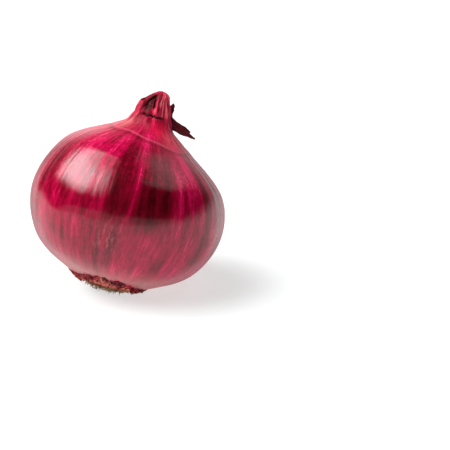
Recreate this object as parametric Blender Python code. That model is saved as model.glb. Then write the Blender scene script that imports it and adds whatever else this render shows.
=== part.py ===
"""A red onion: the bulb in its dry skin with a pleated neck, and the root plate with its dried roots.

Metres, +Z up. The onion leans as it lies on level ground, which is the plane z = 0. It rests on a
small flat spot under its weight, and the world origin is in that spot. Every shape is laid out
upright first and leaned last: height runs along the onion's axis from the root end to the neck,
reach is the distance from that axis, and a bearing turns round it, from +X towards +Y.
"""

import math
import random

import bmesh
import bpy
from mathutils import Matrix, Vector

MM = 0.001

# How the onion lies
LEAN = math.radians(18.0)
LEAN_TOWARDS = math.radians(35.7)
WEIGHT_HEIGHT = 39.5 * MM
ROOT_END_SINK = 0.4 * MM

# The skin's outline, (reach, height) from beside the roots up to the neck's tip
SKIN_OUTLINE = (
    (12.0 * MM, 2.5 * MM),
    (16.3 * MM, 4.7 * MM),
    (22.0 * MM, 7.6 * MM),
    (28.7 * MM, 11.3 * MM),
    (34.4 * MM, 16.3 * MM),
    (38.6 * MM, 22.9 * MM),
    (41.0 * MM, 29.8 * MM),
    (41.8 * MM, 37.2 * MM),
    (40.4 * MM, 45.3 * MM),
    (37.1 * MM, 52.5 * MM),
    (31.8 * MM, 58.6 * MM),
    (24.8 * MM, 64.0 * MM),
    (16.9 * MM, 68.6 * MM),
    (10.4 * MM, 72.7 * MM),
    (8.3 * MM, 76.3 * MM),
    (7.5 * MM, 79.5 * MM),
    (6.7 * MM, 82.2 * MM),
    (5.4 * MM, 84.8 * MM),
    (3.5 * MM, 86.9 * MM),
    (1.5 * MM, 88.1 * MM),
)
NECK_TIP_HEIGHT = 88.4 * MM
OUTLINE_STEPS = 12

# The rings of points round the skin: how many bearings, and the rows in each zone of heights
BEARINGS = 84
HEM_ZONE_TOP = 12.0 * MM
HEM_ROWS = 4
ROW_ZONES = (
    (HEM_ZONE_TOP, 60.0 * MM, 13),
    (60.0 * MM, 71.0 * MM, 10),
    (71.0 * MM, 88.1 * MM, 15),
)
SHARP_ANGLE = math.radians(40.0)

# The hem, where the skin has torn away round the roots, by (bearing, change of reach, spread)
HEM_REACH = 15.8 * MM
HEM_BAYS = ((-92.0, 5.2 * MM, 50.0), (38.0, -3.2 * MM, 55.0), (120.0, 1.6 * MM, 30.0))
TORN_HEM = ((5, 0.25 * MM, 0.4), (11, 0.30 * MM, 1.9), (17, 0.30 * MM, 4.4), (23, 0.22 * MM, 3.1))

# The scale bared inside the hem, and the seat that the root plate sits in
BARED_ROWS = 3
BARED_RISE = 0.54
SEAT_RADIUS = 10.8 * MM
SEAT_RIM_HEIGHT = 2.9 * MM
SEAT_HEIGHT = 5.4 * MM

# Where the bulb departs from a turned shape
FULL_SHOULDER = 2.6 * MM
FULL_SHOULDER_HEIGHT = 63.0 * MM
FULL_SHOULDER_SPREAD = 8.0 * MM
LOBES = ((2, 0.35 * MM, 1.5), (3, 0.30 * MM, 1.4), (5, 0.15 * MM, 4.6))
LOBE_HEIGHT = 38.0 * MM
LOBE_SPREAD = 24.0 * MM

# The collar: what is left of the outermost skin on the shoulder, standing proud of the next one
COLLAR_STEP = 0.4 * MM
COLLAR_EDGE_LEFT = 69.4 * MM
COLLAR_EDGE_RIGHT = 66.2 * MM
COLLAR_WAVES = ((1, 1.0 * MM, 2.6), (4, 0.35 * MM, 0.5), (7, 0.25 * MM, 2.0))
COLLAR_SOFTNESS = 0.7 * MM

# The neck: its pleats, how far it stands towards +X, the deep folds and the crack across its front
NECK_STARTS = 71.0 * MM
NECK_FULL = 77.5 * MM
PLEATS = ((11, 0.060, 0.3), (6, 0.045, 1.7), (17, 0.025, 2.9))
PLEAT_TWIST = 0.35
NECK_SHIFTS = ((66.0 * MM, 74.0 * MM, 0.5 * MM), (83.0 * MM, 88.4 * MM, 1.5 * MM))
FOLDS = (
    # bearing at its foot, bearing at its head, half width in degrees, depth, foot height, head height
    (-128.0, -98.0, 13.0, 2.3 * MM, 78.6 * MM, 87.2 * MM),
    (-84.0, -86.0, 7.0, 1.3 * MM, 80.4 * MM, 87.0 * MM),
    (-20.0, -35.0, 8.0, 1.1 * MM, 76.5 * MM, 86.0 * MM),
    (75.0, 90.0, 10.0, 1.8 * MM, 77.0 * MM, 87.5 * MM),
    (150.0, 140.0, 9.0, 1.2 * MM, 76.0 * MM, 86.5 * MM),
)
FOLD_FOOT_FADE = 2.5 * MM
FOLD_HEAD_FADE = 1.5 * MM
CRACK_HEIGHT = 76.7 * MM
CRACK_DEPTH = 0.9 * MM
CRACK_HALF_WIDTH = 0.7 * MM
CRACK_BEARINGS = (-126.0, -52.0)
CRACK_END_FADE = 0.2
DEEPEST_SHARE = 0.65

# The torn strips of dry skin, each along a path of (bearing in degrees, reach, height, width)
STRIP_THICKNESS = 0.9 * MM
NECK_STRIPS = (
    (
        (-4.0, 7.6 * MM, 79.2 * MM, 2.4 * MM),
        (-3.0, 9.2 * MM, 76.9 * MM, 4.0 * MM),
        (-2.0, 11.6 * MM, 75.3 * MM, 4.4 * MM),
        (-1.0, 14.3 * MM, 74.5 * MM, 3.7 * MM),
        (1.0, 17.2 * MM, 73.4 * MM, 2.2 * MM),
        (2.0, 20.2 * MM, 72.2 * MM, 0.7 * MM),
    ),
    (
        (4.0, 6.0 * MM, 79.0 * MM, 2.2 * MM),
        (4.0, 7.2 * MM, 81.2 * MM, 1.9 * MM),
        (5.0, 8.0 * MM, 83.2 * MM, 0.8 * MM),
    ),
)
STRIP_TURNS = (25.0, 0.0)

# The torn tongues of skin round the part of the hem that stands clear of the ground, each drawn
# through sections at (share of its length, share of its width)
TONGUES = 12
TONGUE_BEARINGS = (150.0, 335.0)
TONGUE_LENGTH = (2.4 * MM, 4.2 * MM)
TONGUE_WIDTH = (2.0 * MM, 3.8 * MM)
TONGUE_SECTIONS = ((-0.6, 1.0), (0.0, 1.0), (0.6, 0.7), (1.0, 0.25))
TONGUE_INWARDS = 0.72
TONGUE_DROOP = 0.6
TONGUE_DRIFT = 0.5
TONGUE_TURN = 20.0
TONGUE_FACE = (0.5, -0.8)

# The root plate: a disc in the seat with a low dome underneath, (share of radius, share of dome)
NODE_GAP = 0.3 * MM
PLATE_RADIUS = SEAT_RADIUS - NODE_GAP
PLATE_TOP = SEAT_HEIGHT - NODE_GAP
PLATE_TOP_RING = 0.45
PLATE_RIM_HEIGHT = 2.5 * MM
PLATE_DOME = 1.5 * MM
PLATE_DOME_RINGS = ((1.0, 0.0), (0.86, 0.55), (0.6, 0.85), (0.3, 1.0))
PLATE_SIDES = 40

# The dried roots, in rings of (radius, how many); those at the rim are longer and spread outwards
ROOT_RINGS = ((2.6 * MM, 9), (5.0 * MM, 16), (7.3 * MM, 25), (9.2 * MM, 38))
ROOT_LENGTH = (1.7 * MM, 3.2 * MM)
ROOT_RADIUS = (0.42 * MM, 0.66 * MM)
ROOT_SIDES = 5
ROOT_SUNK = 1.2 * MM
ROOT_BENDS = 3
ROOT_TAPER = 0.55
ROOT_JITTER = 0.3
ROOT_CURL = 0.5
ROOT_DROOP = (-0.3, 0.1)
ROOT_OUTWARDS = (0.25, 1.1)
ROOT_DOWNWARDS = (1.0, -0.45)
ROOT_CENTRE_LENGTH = 0.55

GROUND_CUT_SIZE = 0.12
SEED = 8

# The materials: base colour and roughness
SKIN_COLOUR = (0.42, 0.012, 0.07)
SKIN_ROUGHNESS = 0.32
ROOT_COLOUR = (0.42, 0.26, 0.13)
ROOT_ROUGHNESS = 0.85


def between(low, high, value):
    """0 at low, 1 at high, with a soft start and end."""
    share = min(max((value - low) / (high - low), 0.0), 1.0)
    return share * share * (3.0 - 2.0 * share)


def bell(distance, spread):
    return math.exp(-((distance / spread) ** 2))


def on_bearing(bearing, reach, height):
    return Vector((reach * math.cos(bearing), reach * math.sin(bearing), height))


def waves(terms, bearing):
    return sum(size * math.cos(count * bearing + phase) for count, size, phase in terms)


def turn_between(first, second):
    """The smallest turn from one bearing to another, in radians."""
    return math.remainder(first - second, math.tau)


def smooth_through(knots, steps):
    """A smooth path through the knots, with the given number of steps in each span."""
    points = [Vector(knot) for knot in knots]
    slopes = []
    for index in range(len(points)):
        before = points[max(index - 1, 0)]
        after = points[min(index + 1, len(points) - 1)]
        distance = (points[index] - before).length + (after - points[index]).length
        slopes.append((after - before) / distance)
    path = [points[0]]
    for index in range(len(points) - 1):
        start, end = points[index], points[index + 1]
        span = (end - start).length
        for step in range(1, steps + 1):
            t = step / steps
            path.append(
                start * (2 * t**3 - 3 * t**2 + 1)
                + slopes[index] * span * (t**3 - 2 * t**2 + t)
                + end * (3 * t**2 - 2 * t**3)
                + slopes[index + 1] * span * (t**3 - t**2)
            )
    return path


def collar_edge(bearing):
    """The height of the collar's torn edge, which runs lower on the +X side."""
    towards_x = 0.5 + 0.5 * math.cos(bearing)
    level = COLLAR_EDGE_LEFT + (COLLAR_EDGE_RIGHT - COLLAR_EDGE_LEFT) * towards_x
    return level + waves(COLLAR_WAVES, bearing)


def fold_depth(bearing, height):
    """How far the neck's folds and the crack across its front go in, here."""
    deepest = 0.0
    for foot_bearing, head_bearing, half_width, depth, foot, head in FOLDS:
        share = between(foot, head, height)
        middle = math.radians(foot_bearing + (head_bearing - foot_bearing) * share)
        risen = between(foot, foot + FOLD_FOOT_FADE, height)
        left = 1.0 - between(head - FOLD_HEAD_FADE, head, height)
        across = bell(turn_between(bearing, middle), math.radians(half_width))
        deepest = max(deepest, depth * risen * left * across)
    return max(deepest, crack_depth(bearing, height))


def crack_depth(bearing, height):
    start, end = (math.radians(edge) for edge in CRACK_BEARINGS)
    half = (end - start) / 2
    off_middle = abs(turn_between(bearing, start + half))
    outside = between((1.0 - CRACK_END_FADE) * half, (1.0 + CRACK_END_FADE) * half, off_middle)
    return CRACK_DEPTH * (1.0 - outside) * bell(height - CRACK_HEIGHT, CRACK_HALF_WIDTH)


def reach_on(outline, height):
    """The outline's reach at a height."""
    for lower, upper in zip(outline, outline[1:]):
        if height <= upper.y:
            share = (height - lower.y) / (upper.y - lower.y)
            return lower.x + (upper.x - lower.x) * share
    return outline[-1].x


def height_on(outline, reach):
    """The height of the outline's lower half at a reach."""
    for lower, upper in zip(outline, outline[1:]):
        if reach <= upper.x:
            share = (reach - lower.x) / (upper.x - lower.x)
            return lower.y + (upper.y - lower.y) * share
    return outline[-1].y


def hem_reach(bearing):
    """How far from the axis the skin ends, along its torn hem."""
    bays = sum(
        change * bell(turn_between(bearing, math.radians(middle)), math.radians(spread))
        for middle, change, spread in HEM_BAYS
    )
    return HEM_REACH + bays + waves(TORN_HEM, bearing)


def bared_height(reach):
    return SEAT_RIM_HEIGHT + BARED_RISE * (reach - SEAT_RADIUS)


def neck_shift(height):
    return sum(shift * between(low, high, height) for low, high, shift in NECK_SHIFTS)


def skin_point(outline, bearing, height):
    """The point of the bulb's skin at a bearing and a height."""
    neck = between(NECK_STARTS, NECK_FULL, height)
    reach = reach_on(outline, height)
    fullness = bell(height - FULL_SHOULDER_HEIGHT, FULL_SHOULDER_SPREAD)
    shoulder = -FULL_SHOULDER * math.cos(bearing) * fullness
    lobes = waves(LOBES, bearing) * bell(height - LOBE_HEIGHT, LOBE_SPREAD)
    above_edge = between(-COLLAR_SOFTNESS, COLLAR_SOFTNESS, height - collar_edge(bearing))
    collar = COLLAR_STEP * (1.0 - neck) * above_edge
    twisted = bearing + PLEAT_TWIST * (height - NECK_STARTS) / (NECK_TIP_HEIGHT - NECK_STARTS)
    out = (reach + shoulder + lobes + collar) * (1.0 + neck * waves(PLEATS, twisted))
    out = max(out - fold_depth(bearing, height), (1.0 - DEEPEST_SHARE) * reach)
    return Vector((out * math.cos(bearing) + neck_shift(height), out * math.sin(bearing), height))


def bulb_rings(outline):
    """The rings of points that the bulb is drawn through, from the root seat up to the neck."""
    bearings = [math.tau * step / BEARINGS for step in range(BEARINGS)]
    rings = [[on_bearing(bearing, SEAT_RADIUS, SEAT_HEIGHT) for bearing in bearings]]
    for row in range(BARED_ROWS + 1):
        ring = []
        for bearing in bearings:
            reach = SEAT_RADIUS + (hem_reach(bearing) - SEAT_RADIUS) * row / BARED_ROWS
            ring.append(on_bearing(bearing, reach, bared_height(reach)))
        rings.append(ring)
    for row in range(HEM_ROWS):
        ring = []
        for bearing in bearings:
            start = height_on(outline, hem_reach(bearing))
            height = start + (HEM_ZONE_TOP - start) * row / HEM_ROWS
            ring.append(skin_point(outline, bearing, height))
        rings.append(ring)
    for low, high, rows in ROW_ZONES:
        for row in range(rows):
            height = low + (high - low) * row / rows
            rings.append([skin_point(outline, bearing, height) for bearing in bearings])
    last = ROW_ZONES[-1][1]
    rings.append([skin_point(outline, bearing, last) for bearing in bearings])
    return rings


def lofted(name, rings, foot, head):
    """A closed mesh through the rings, with a fan to a point at each end."""
    shape = bmesh.new()
    rows = [[shape.verts.new(point) for point in ring] for ring in rings]
    foot_vert = shape.verts.new(foot)
    head_vert = shape.verts.new(head)
    for lower, upper in zip(rows, rows[1:]):
        for index in range(len(lower)):
            after = (index + 1) % len(lower)
            shape.faces.new((lower[index], lower[after], upper[after], upper[index]))
    for index in range(len(rows[0])):
        after = (index + 1) % len(rows[0])
        shape.faces.new((foot_vert, rows[0][after], rows[0][index]))
        shape.faces.new((head_vert, rows[-1][index], rows[-1][after]))
    bmesh.ops.recalc_face_normals(shape, faces=shape.faces)
    return finished(name, shape)


def finished(name, shape):
    mesh = bpy.data.meshes.new(name)
    shape.to_mesh(mesh)
    shape.free()
    piece = bpy.data.objects.new(name, mesh)
    bpy.context.scene.collection.objects.link(piece)
    return piece


def strip(name, path, thickness, turn):
    """A thin tapering strip along a path of (place, outward, width), turned about the path."""
    shape = bmesh.new()
    sections = []
    for index, (place, outward, width) in enumerate(path):
        ahead = path[min(index + 1, len(path) - 1)][0]
        behind = path[max(index - 1, 0)][0]
        along = (ahead - behind).normalized()
        across = along.cross(outward).normalized()
        across = Matrix.Rotation(math.radians(turn), 3, along) @ across
        flat = along.cross(across).normalized()
        corners = ((-1, -1), (1, -1), (1, 1), (-1, 1))
        sections.append(
            [
                shape.verts.new(place + across * (width / 2) * side + flat * (thickness / 2) * face)
                for side, face in corners
            ]
        )
    for lower, upper in zip(sections, sections[1:]):
        for index in range(4):
            after = (index + 1) % 4
            shape.faces.new((lower[index], lower[after], upper[after], upper[index]))
    shape.faces.new(reversed(sections[0]))
    shape.faces.new(sections[-1])
    bmesh.ops.recalc_face_normals(shape, faces=shape.faces)
    return finished(name, shape)


def neck_strips():
    """The dark dry strips torn from the neck's +X side."""
    strips = []
    for knots, turn in zip(NECK_STRIPS, STRIP_TURNS):
        path = []
        for degrees, reach, height, width in knots:
            bearing = math.radians(degrees)
            place = on_bearing(bearing, reach, height)
            path.append((place, Vector((-math.sin(bearing), math.cos(bearing), 0.0)), width))
        strips.append(strip(f"neck_strip_{len(strips)}", path, STRIP_THICKNESS, turn))
    return strips


def hem_tongues(outline, draw):
    """The torn tongues of skin that hang inwards from the hem over the bared scale."""
    first, last = (math.radians(edge) for edge in TONGUE_BEARINGS)
    tongues = []
    for number in range(TONGUES):
        bearing = first + (last - first) * (number + draw.uniform(0.2, 0.8)) / TONGUES
        length = draw.uniform(*TONGUE_LENGTH)
        width = draw.uniform(*TONGUE_WIDTH)
        drift = draw.uniform(-TONGUE_DRIFT, TONGUE_DRIFT)
        edge = hem_reach(bearing)
        edge_height = height_on(outline, edge)
        outward = on_bearing(bearing, 1.0, 0.0)
        sideways = Vector((-outward.y, outward.x, 0.0))
        face = outward * TONGUE_FACE[0] + Vector((0.0, 0.0, TONGUE_FACE[1]))
        path = []
        for share, taper in TONGUE_SECTIONS:
            place = outward * (edge - TONGUE_INWARDS * share * length)
            place += sideways * (drift * share * length)
            place.z = edge_height + STRIP_THICKNESS / 2 - TONGUE_DROOP * share * length
            path.append((place, face, width * taper))
        turn = draw.uniform(-TONGUE_TURN, TONGUE_TURN)
        tongues.append(strip(f"tongue_{number}", path, STRIP_THICKNESS, turn))
    return tongues


def root_plate_disc():
    """The corky plate that closes the bulb's root end, a low dome underneath."""
    sizes = [(PLATE_TOP_RING, PLATE_TOP), (1.0, PLATE_TOP)]
    sizes += [(share, PLATE_RIM_HEIGHT - PLATE_DOME * drop) for share, drop in PLATE_DOME_RINGS]
    bearings = [math.tau * step / PLATE_SIDES for step in range(PLATE_SIDES)]
    rings = [
        [on_bearing(bearing, PLATE_RADIUS * share, height) for bearing in bearings]
        for share, height in sizes
    ]
    top = (0.0, 0.0, PLATE_TOP)
    underside = (0.0, 0.0, PLATE_RIM_HEIGHT - PLATE_DOME)
    return lofted("root_plate", rings, top, underside)


def root(name, foot, way, droop, length, radius, turn):
    """One dried root: a tapering, bending stalk whose foot is sunk in the plate."""
    shape = bmesh.new()
    place = foot - way * ROOT_SUNK
    rings = []
    angles = [turn + math.tau * corner / ROOT_SIDES for corner in range(ROOT_SIDES)]
    guide = way.orthogonal()
    for bend in range(ROOT_BENDS + 1):
        share = bend / ROOT_BENDS
        heading = (way + droop * share).normalized()
        side = heading.cross(guide).normalized()
        up = heading.cross(side)
        width = radius * (1.0 - ROOT_TAPER * share)
        spokes = [side * math.cos(angle) + up * math.sin(angle) for angle in angles]
        rings.append([shape.verts.new(place + spoke * width) for spoke in spokes])
        place = place + heading * ((length + ROOT_SUNK) / ROOT_BENDS)
    for lower, upper in zip(rings, rings[1:]):
        for index in range(ROOT_SIDES):
            after = (index + 1) % ROOT_SIDES
            shape.faces.new((lower[index], lower[after], upper[after], upper[index]))
    shape.faces.new(reversed(rings[0]))
    shape.faces.new(rings[-1])
    bmesh.ops.recalc_face_normals(shape, faces=shape.faces)
    return finished(name, shape)


def roots(draw):
    """Roots in rings under the plate, those at the rim spreading outwards below the bared scale."""
    stalks = []
    for ring_radius, count in ROOT_RINGS:
        spread = ring_radius / PLATE_RADIUS
        foot_height = PLATE_RIM_HEIGHT - PLATE_DOME * (1.0 - spread**2)
        outwards = ROOT_OUTWARDS[0] + ROOT_OUTWARDS[1] * spread**2
        downwards = ROOT_DOWNWARDS[0] + ROOT_DOWNWARDS[1] * spread
        for number in range(count):
            bearing = math.tau * (number + draw.uniform(-ROOT_JITTER, ROOT_JITTER)) / count
            outward = on_bearing(bearing, 1.0, 0.0)
            sideways = Vector((-outward.y, outward.x, 0.0))
            foot = on_bearing(bearing, ring_radius, foot_height)
            way = (outward * outwards - Vector((0.0, 0.0, downwards))).normalized()
            droop = sideways * draw.uniform(-ROOT_CURL, ROOT_CURL)
            droop.z = draw.uniform(*ROOT_DROOP)
            length = draw.uniform(*ROOT_LENGTH)
            length *= ROOT_CENTRE_LENGTH + (1.0 - ROOT_CENTRE_LENGTH) * spread
            radius = draw.uniform(*ROOT_RADIUS)
            turn = draw.uniform(0.0, math.tau)
            stalks.append(root(f"root_{len(stalks)}", foot, way, droop, length, radius, turn))
    return stalks


def fuse(body, pieces):
    """Joins the pieces to the body with one Boolean and removes them."""
    group = bpy.data.collections.new(f"{body.name}_growths")
    for piece in pieces:
        bpy.context.scene.collection.objects.unlink(piece)
        group.objects.link(piece)
    bpy.context.scene.collection.children.link(group)
    union = body.modifiers.new("growths", "BOOLEAN")
    union.operation = "UNION"
    union.solver = "EXACT"
    union.operand_type = "COLLECTION"
    union.collection = group
    bake(body)
    for piece in pieces:
        bpy.data.objects.remove(piece)
    bpy.data.collections.remove(group)


def bake(piece):
    """Replaces the object's mesh by the one its modifiers give."""
    graph = bpy.context.evaluated_depsgraph_get()
    mesh = bpy.data.meshes.new_from_object(piece.evaluated_get(graph))
    piece.modifiers.clear()
    piece.data = mesh


def lean_matrix():
    """From the upright onion to the onion as it lies, with its weight over the world origin."""
    tilt_axis = Vector((-math.sin(LEAN_TOWARDS), math.cos(LEAN_TOWARDS), 0.0))
    tilt = Matrix.Rotation(LEAN, 4, tilt_axis)
    weight = tilt @ Vector((0.0, 0.0, WEIGHT_HEIGHT))
    return Matrix.Translation((-weight.x, -weight.y, -ROOT_END_SINK)) @ tilt


def rest_on_ground(piece, cutter):
    """Cuts away what would be under the ground, which leaves the flat spot."""
    cut = piece.modifiers.new("flat_spot", "BOOLEAN")
    cut.operation = "DIFFERENCE"
    cut.solver = "EXACT"
    cut.object = cutter


def ground_cutter():
    shape = bmesh.new()
    bmesh.ops.create_cube(shape, size=GROUND_CUT_SIZE)
    bmesh.ops.translate(shape, verts=shape.verts, vec=(0.0, 0.0, -GROUND_CUT_SIZE / 2))
    cutter = finished("ground_cutter", shape)
    cutter.hide_render = True
    cutter.display_type = "WIRE"
    return cutter


def painted(piece, name, colour, roughness):
    material = bpy.data.materials.new(name)
    material.use_nodes = True
    shader = material.node_tree.nodes["Principled BSDF"]
    shader.inputs["Base Color"].default_value = (*colour, 1.0)
    shader.inputs["Roughness"].default_value = roughness
    shader.inputs["Metallic"].default_value = 0.0
    piece.data.materials.clear()
    piece.data.materials.append(material)


def shaded_round(piece):
    piece.data.shade_smooth()
    piece.data.set_sharp_from_angle(angle=SHARP_ANGLE)


def bulb(draw, lean, cutter):
    outline = smooth_through(SKIN_OUTLINE, OUTLINE_STEPS)
    seat_centre = (0.0, 0.0, SEAT_HEIGHT)
    neck_tip = (neck_shift(NECK_TIP_HEIGHT), 0.0, NECK_TIP_HEIGHT)
    piece = lofted("bulb", bulb_rings(outline), seat_centre, neck_tip)
    fuse(piece, neck_strips() + hem_tongues(outline, draw))
    piece.data.transform(lean)
    painted(piece, "crimson_skin", SKIN_COLOUR, SKIN_ROUGHNESS)
    shaded_round(piece)
    rest_on_ground(piece, cutter)


def root_plate(draw, lean, cutter):
    piece = root_plate_disc()
    fuse(piece, roots(draw))
    piece.data.transform(lean)
    painted(piece, "dried_roots", ROOT_COLOUR, ROOT_ROUGHNESS)
    shaded_round(piece)
    rest_on_ground(piece, cutter)


def main():
    for leftover in list(bpy.data.objects):
        bpy.data.objects.remove(leftover)
    draw = random.Random(SEED)
    lean = lean_matrix()
    cutter = ground_cutter()
    bulb(draw, lean, cutter)
    root_plate(draw, lean, cutter)


main()
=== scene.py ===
"""The looks of a red onion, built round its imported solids. Metres, +Z up.

The onion is laid out upright and leaned last, as its solids are: height runs along its axis from
the root end to the neck, reach is the distance from that axis, and a bearing turns round it, from
+X towards +Y. The camera stands at bearing -90. Bearings in tables are in degrees, and so are
their half widths. The tables that say so are in mm.
"""

import math

import bpy
from mathutils import Matrix, Quaternion, Vector


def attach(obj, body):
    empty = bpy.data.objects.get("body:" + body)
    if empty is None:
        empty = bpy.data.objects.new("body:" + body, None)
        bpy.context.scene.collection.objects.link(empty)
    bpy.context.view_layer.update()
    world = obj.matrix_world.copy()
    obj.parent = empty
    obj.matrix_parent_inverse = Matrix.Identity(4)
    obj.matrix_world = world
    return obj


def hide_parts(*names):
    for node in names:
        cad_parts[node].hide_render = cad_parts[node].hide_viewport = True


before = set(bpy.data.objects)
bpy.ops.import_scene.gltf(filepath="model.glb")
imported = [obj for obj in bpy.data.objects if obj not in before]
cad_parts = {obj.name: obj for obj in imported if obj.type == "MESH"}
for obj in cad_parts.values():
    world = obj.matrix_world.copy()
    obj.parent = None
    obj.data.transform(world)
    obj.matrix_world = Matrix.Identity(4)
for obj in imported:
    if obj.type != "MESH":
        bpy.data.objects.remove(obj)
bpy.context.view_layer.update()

MM = 0.001

# How the onion lies
LEAN = math.radians(18.0)
LEAN_TOWARDS = math.radians(35.7)
WEIGHT_HEIGHT = 39.5 * MM
ROOT_END_SINK = 0.4 * MM

# The skin's outline in mm, (reach, height) from beside the roots up to the neck's tip
SKIN_OUTLINE = (
    (12, 2.5), (16.3, 4.7), (22, 7.6), (28.7, 11.3), (34.4, 16.3), (38.6, 22.9), (41, 29.8), (41.8, 37.2),
    (40.4, 45.3), (37.1, 52.5), (31.8, 58.6), (24.8, 64), (16.9, 68.6), (10.4, 72.7), (8.3, 76.3),
    (7.5, 79.5), (6.7, 82.2), (5.4, 84.8), (3.5, 86.9), (1.5, 88.1), (0, 88.4),
)
SPAN_STEPS = 12

# Where the bulb departs from a turned shape. Waves round it are (how many, size, phase).
FULL_SHOULDER = 2.6 * MM
FULL_SHOULDER_HEIGHT = 63.0 * MM
FULL_SHOULDER_SPREAD = 8.0 * MM
LOBES = ((2, 0.35 * MM, 1.5), (3, 0.30 * MM, 1.4), (5, 0.15 * MM, 4.6))
LOBE_HEIGHT = 38.0 * MM
LOBE_SPREAD = 24.0 * MM

# The hem, where the skin has torn away round the roots, with bays as (bearing, depth, half width).
# Plain noises are (scale, detail, roughness).
HEM_REACH = 15.8 * MM
HEM_BAYS = ((-94.0, 6.5 * MM, 46.0), (38.0, -3.2 * MM, 55.0), (120.0, 1.6 * MM, 30.0))
HEM_NOISE = (14.0, 4.0, 0.7)
TORN_HEM = ((5, 0.25 * MM, 0.4), (11, 0.30 * MM, 1.9), (17, 0.30 * MM, 4.4), (23, 0.22 * MM, 3.1))

# The collar: what is left of the outermost skin on the shoulder, standing proud of the next one
COLLAR_STEP = 0.4 * MM
COLLAR_EDGE_LEFT = 69.4 * MM
COLLAR_EDGE_RIGHT = 66.2 * MM
COLLAR_WAVES = ((1, 1.0 * MM, 2.6), (4, 0.35 * MM, 0.5), (7, 0.25 * MM, 2.0))
COLLAR_SOFTNESS = 0.7 * MM

# The neck: its pleats, and how far it stands towards +X, as (from height, to height, by)
NECK_STARTS = 71.0 * MM
NECK_FULL = 77.5 * MM
NECK_TIP_HEIGHT = 88.4 * MM
PLEATS = ((11, 0.060, 0.3), (6, 0.045, 1.7), (17, 0.025, 2.9))
PLEAT_TWIST = 0.35
NECK_SHIFTS = ((66.0 * MM, 74.0 * MM, 0.5 * MM), (83.0 * MM, 88.4 * MM, 1.5 * MM))

# The neck's deep folds, in mm and degrees: the bearing at the foot and at the head, half width,
# depth, foot height and head height
FOLDS = (
    (-131, -113, 5.8, 2.2, 79.6, 87), (-163, -157, 12, 1.3, 82.4, 88.2), (-90, -95, 6, 2, 79.6, 85.6),
    (-98, -114, 6, 1.7, 83.4, 87), (-111, -108, 15, 1.2, 78.4, 86.4), (-75.5, -75, 3.5, 0.5, 79, 87),
    (-49, -51, 3.5, 0.6, 75.5, 86.5), (-20, -35, 8, 1.1, 76.5, 86), (20, 12, 6, 0.9, 76, 86.5),
    (75, 90, 10, 1.8, 77, 87.5), (118, 112, 5, 0.9, 76, 86), (150, 140, 9, 1.4, 76, 86.5),
)
FOLD_FOOT_FADE = 2.2 * MM
FOLD_HEAD_FADE = 1.5 * MM
DEEPEST_SHARE = 0.65

# The crack across the neck's front, which the skin's material paints dark inside as shade
CRACK_HEIGHT = 77.5 * MM
CRACK_DEPTH = 1.0 * MM
CRACK_HALF_WIDTH = 0.5 * MM
CRACK_SHADE_HALF_WIDTH = 0.38 * MM
CRACK_WANDER = 2.2 * MM
CRACK_NOISE = (6.0, 4.0, 0.6)
CRACK_BEARINGS = (-128.0, -52.0)
CRACK_END_FADE = 0.12

# A flake of drier skin round the neck's -X side, standing proud, with a torn upper edge that is painted
# with shade along it
FLAKE_MIDDLE = math.radians(-168.0)
FLAKE_HALF = math.radians(36.0)
FLAKE_SOFTNESS = math.radians(5.0)
FLAKE_TOP = 82.9 * MM
FLAKE_FOOT_FADE = 3.0 * MM
FLAKE_EDGE_FADE = (-0.2 * MM, 0.25 * MM)
FLAKE_SHADE_HALF_WIDTH = 0.55 * MM
FLAKE_WAVES = ((5, 0.5 * MM, 0.8), (13, 0.35 * MM, 2.2), (29, 0.2 * MM, 0.4))
FLAKE_STEP = 0.7 * MM

# How far the knob is pinched in on its -X side
PINCH_BEARING = 166.0
PINCH_HALF_WIDTH = 26.0
PINCH_DEPTH = 1.2 * MM
PINCH_HEIGHTS = (77.0 * MM, 81.0 * MM)

# The camera looks along +Y from above, and the frame is as wide as this at the onion
CAMERA_ELEVATION = math.radians(18.0)
CAMERA_DISTANCE = 0.75
SENSOR_WIDTH = 36.0
FRAME_WIDTH = 450 / 2345
FAR_CLIP = 20.0
ONION_CENTRE_HEIGHT = 36.9 * MM
CENTRE_RIGHT_OF_ONION = 41.36 * MM
CENTRE_BELOW_ONION = 7.68 * MM

# The floor, in metres
FLOOR_SIDE = 3.0
FLOOR_FRONT = 1.2
FLOOR_FINISH = {
    "Base Color": (0.40, 0.43, 0.42, 1.0),
    "Roughness": 0.9,
    "Specular IOR Level": 0.0,
    "Emission Color": (1.0, 1.0, 1.0, 1.0),
    "Emission Strength": 0.62,
}

# The studio's light by direction. Its walls are dark in front and fade in and out as (dark, full)
# along -1 to 1 towards +X, +Y or +Z. The left wall is in steps of (level, dark, full).
DARK_FRONT = 0.008
WALL_LEVEL = 0.60
WALL_CHANGE = (-0.1, 0.1)
WALL_TOP = (0.55, 0.8)
RIGHT_WALL = (0.40, 0.92)
RIGHT_WALL_DIMMING = (0.1, 0.5)
RIGHT_WALL_DIMMED = 0.45
LEFT_WALL_STEPS = ((0.7, 0.60, 0.72), (0.8, 0.86, 1.0))

# A strip of light low all round, with the azimuths where it rises and where it falls again
LOW_STRIP_TOP = math.sin(math.radians(12.0))
LOW_STRIP_LEVEL = 0.55
LOW_STRIP_SOFTNESS = 0.01
LOW_STRIP_RISES = (-92.0, -55.0)
LOW_STRIP_FALLS = (-5.0, 70.0)
LOW_STRIP_FALL = 0.7

# The big lamp and the glow beside it, from dark to full and back to dark: azimuths, then elevations
LAMP_SIDES = (-90.0, -72.0, -72.0, -14.0)
LAMP_LEVELS = (38.0, 54.0, 50.0, 90.0)
LAMP_SLANTS = (1.0, -0.15)
LAMP_LEVEL = 8.8
GLOW_SIDES = (38.0, 66.0, 128.0, 148.0)
GLOW_LEVELS = (66.0, 74.0, 55.0, 67.0)
GLOW_SLANTS = (0.0, 0.3)
GLOW_LEVEL = 1.05

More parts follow.
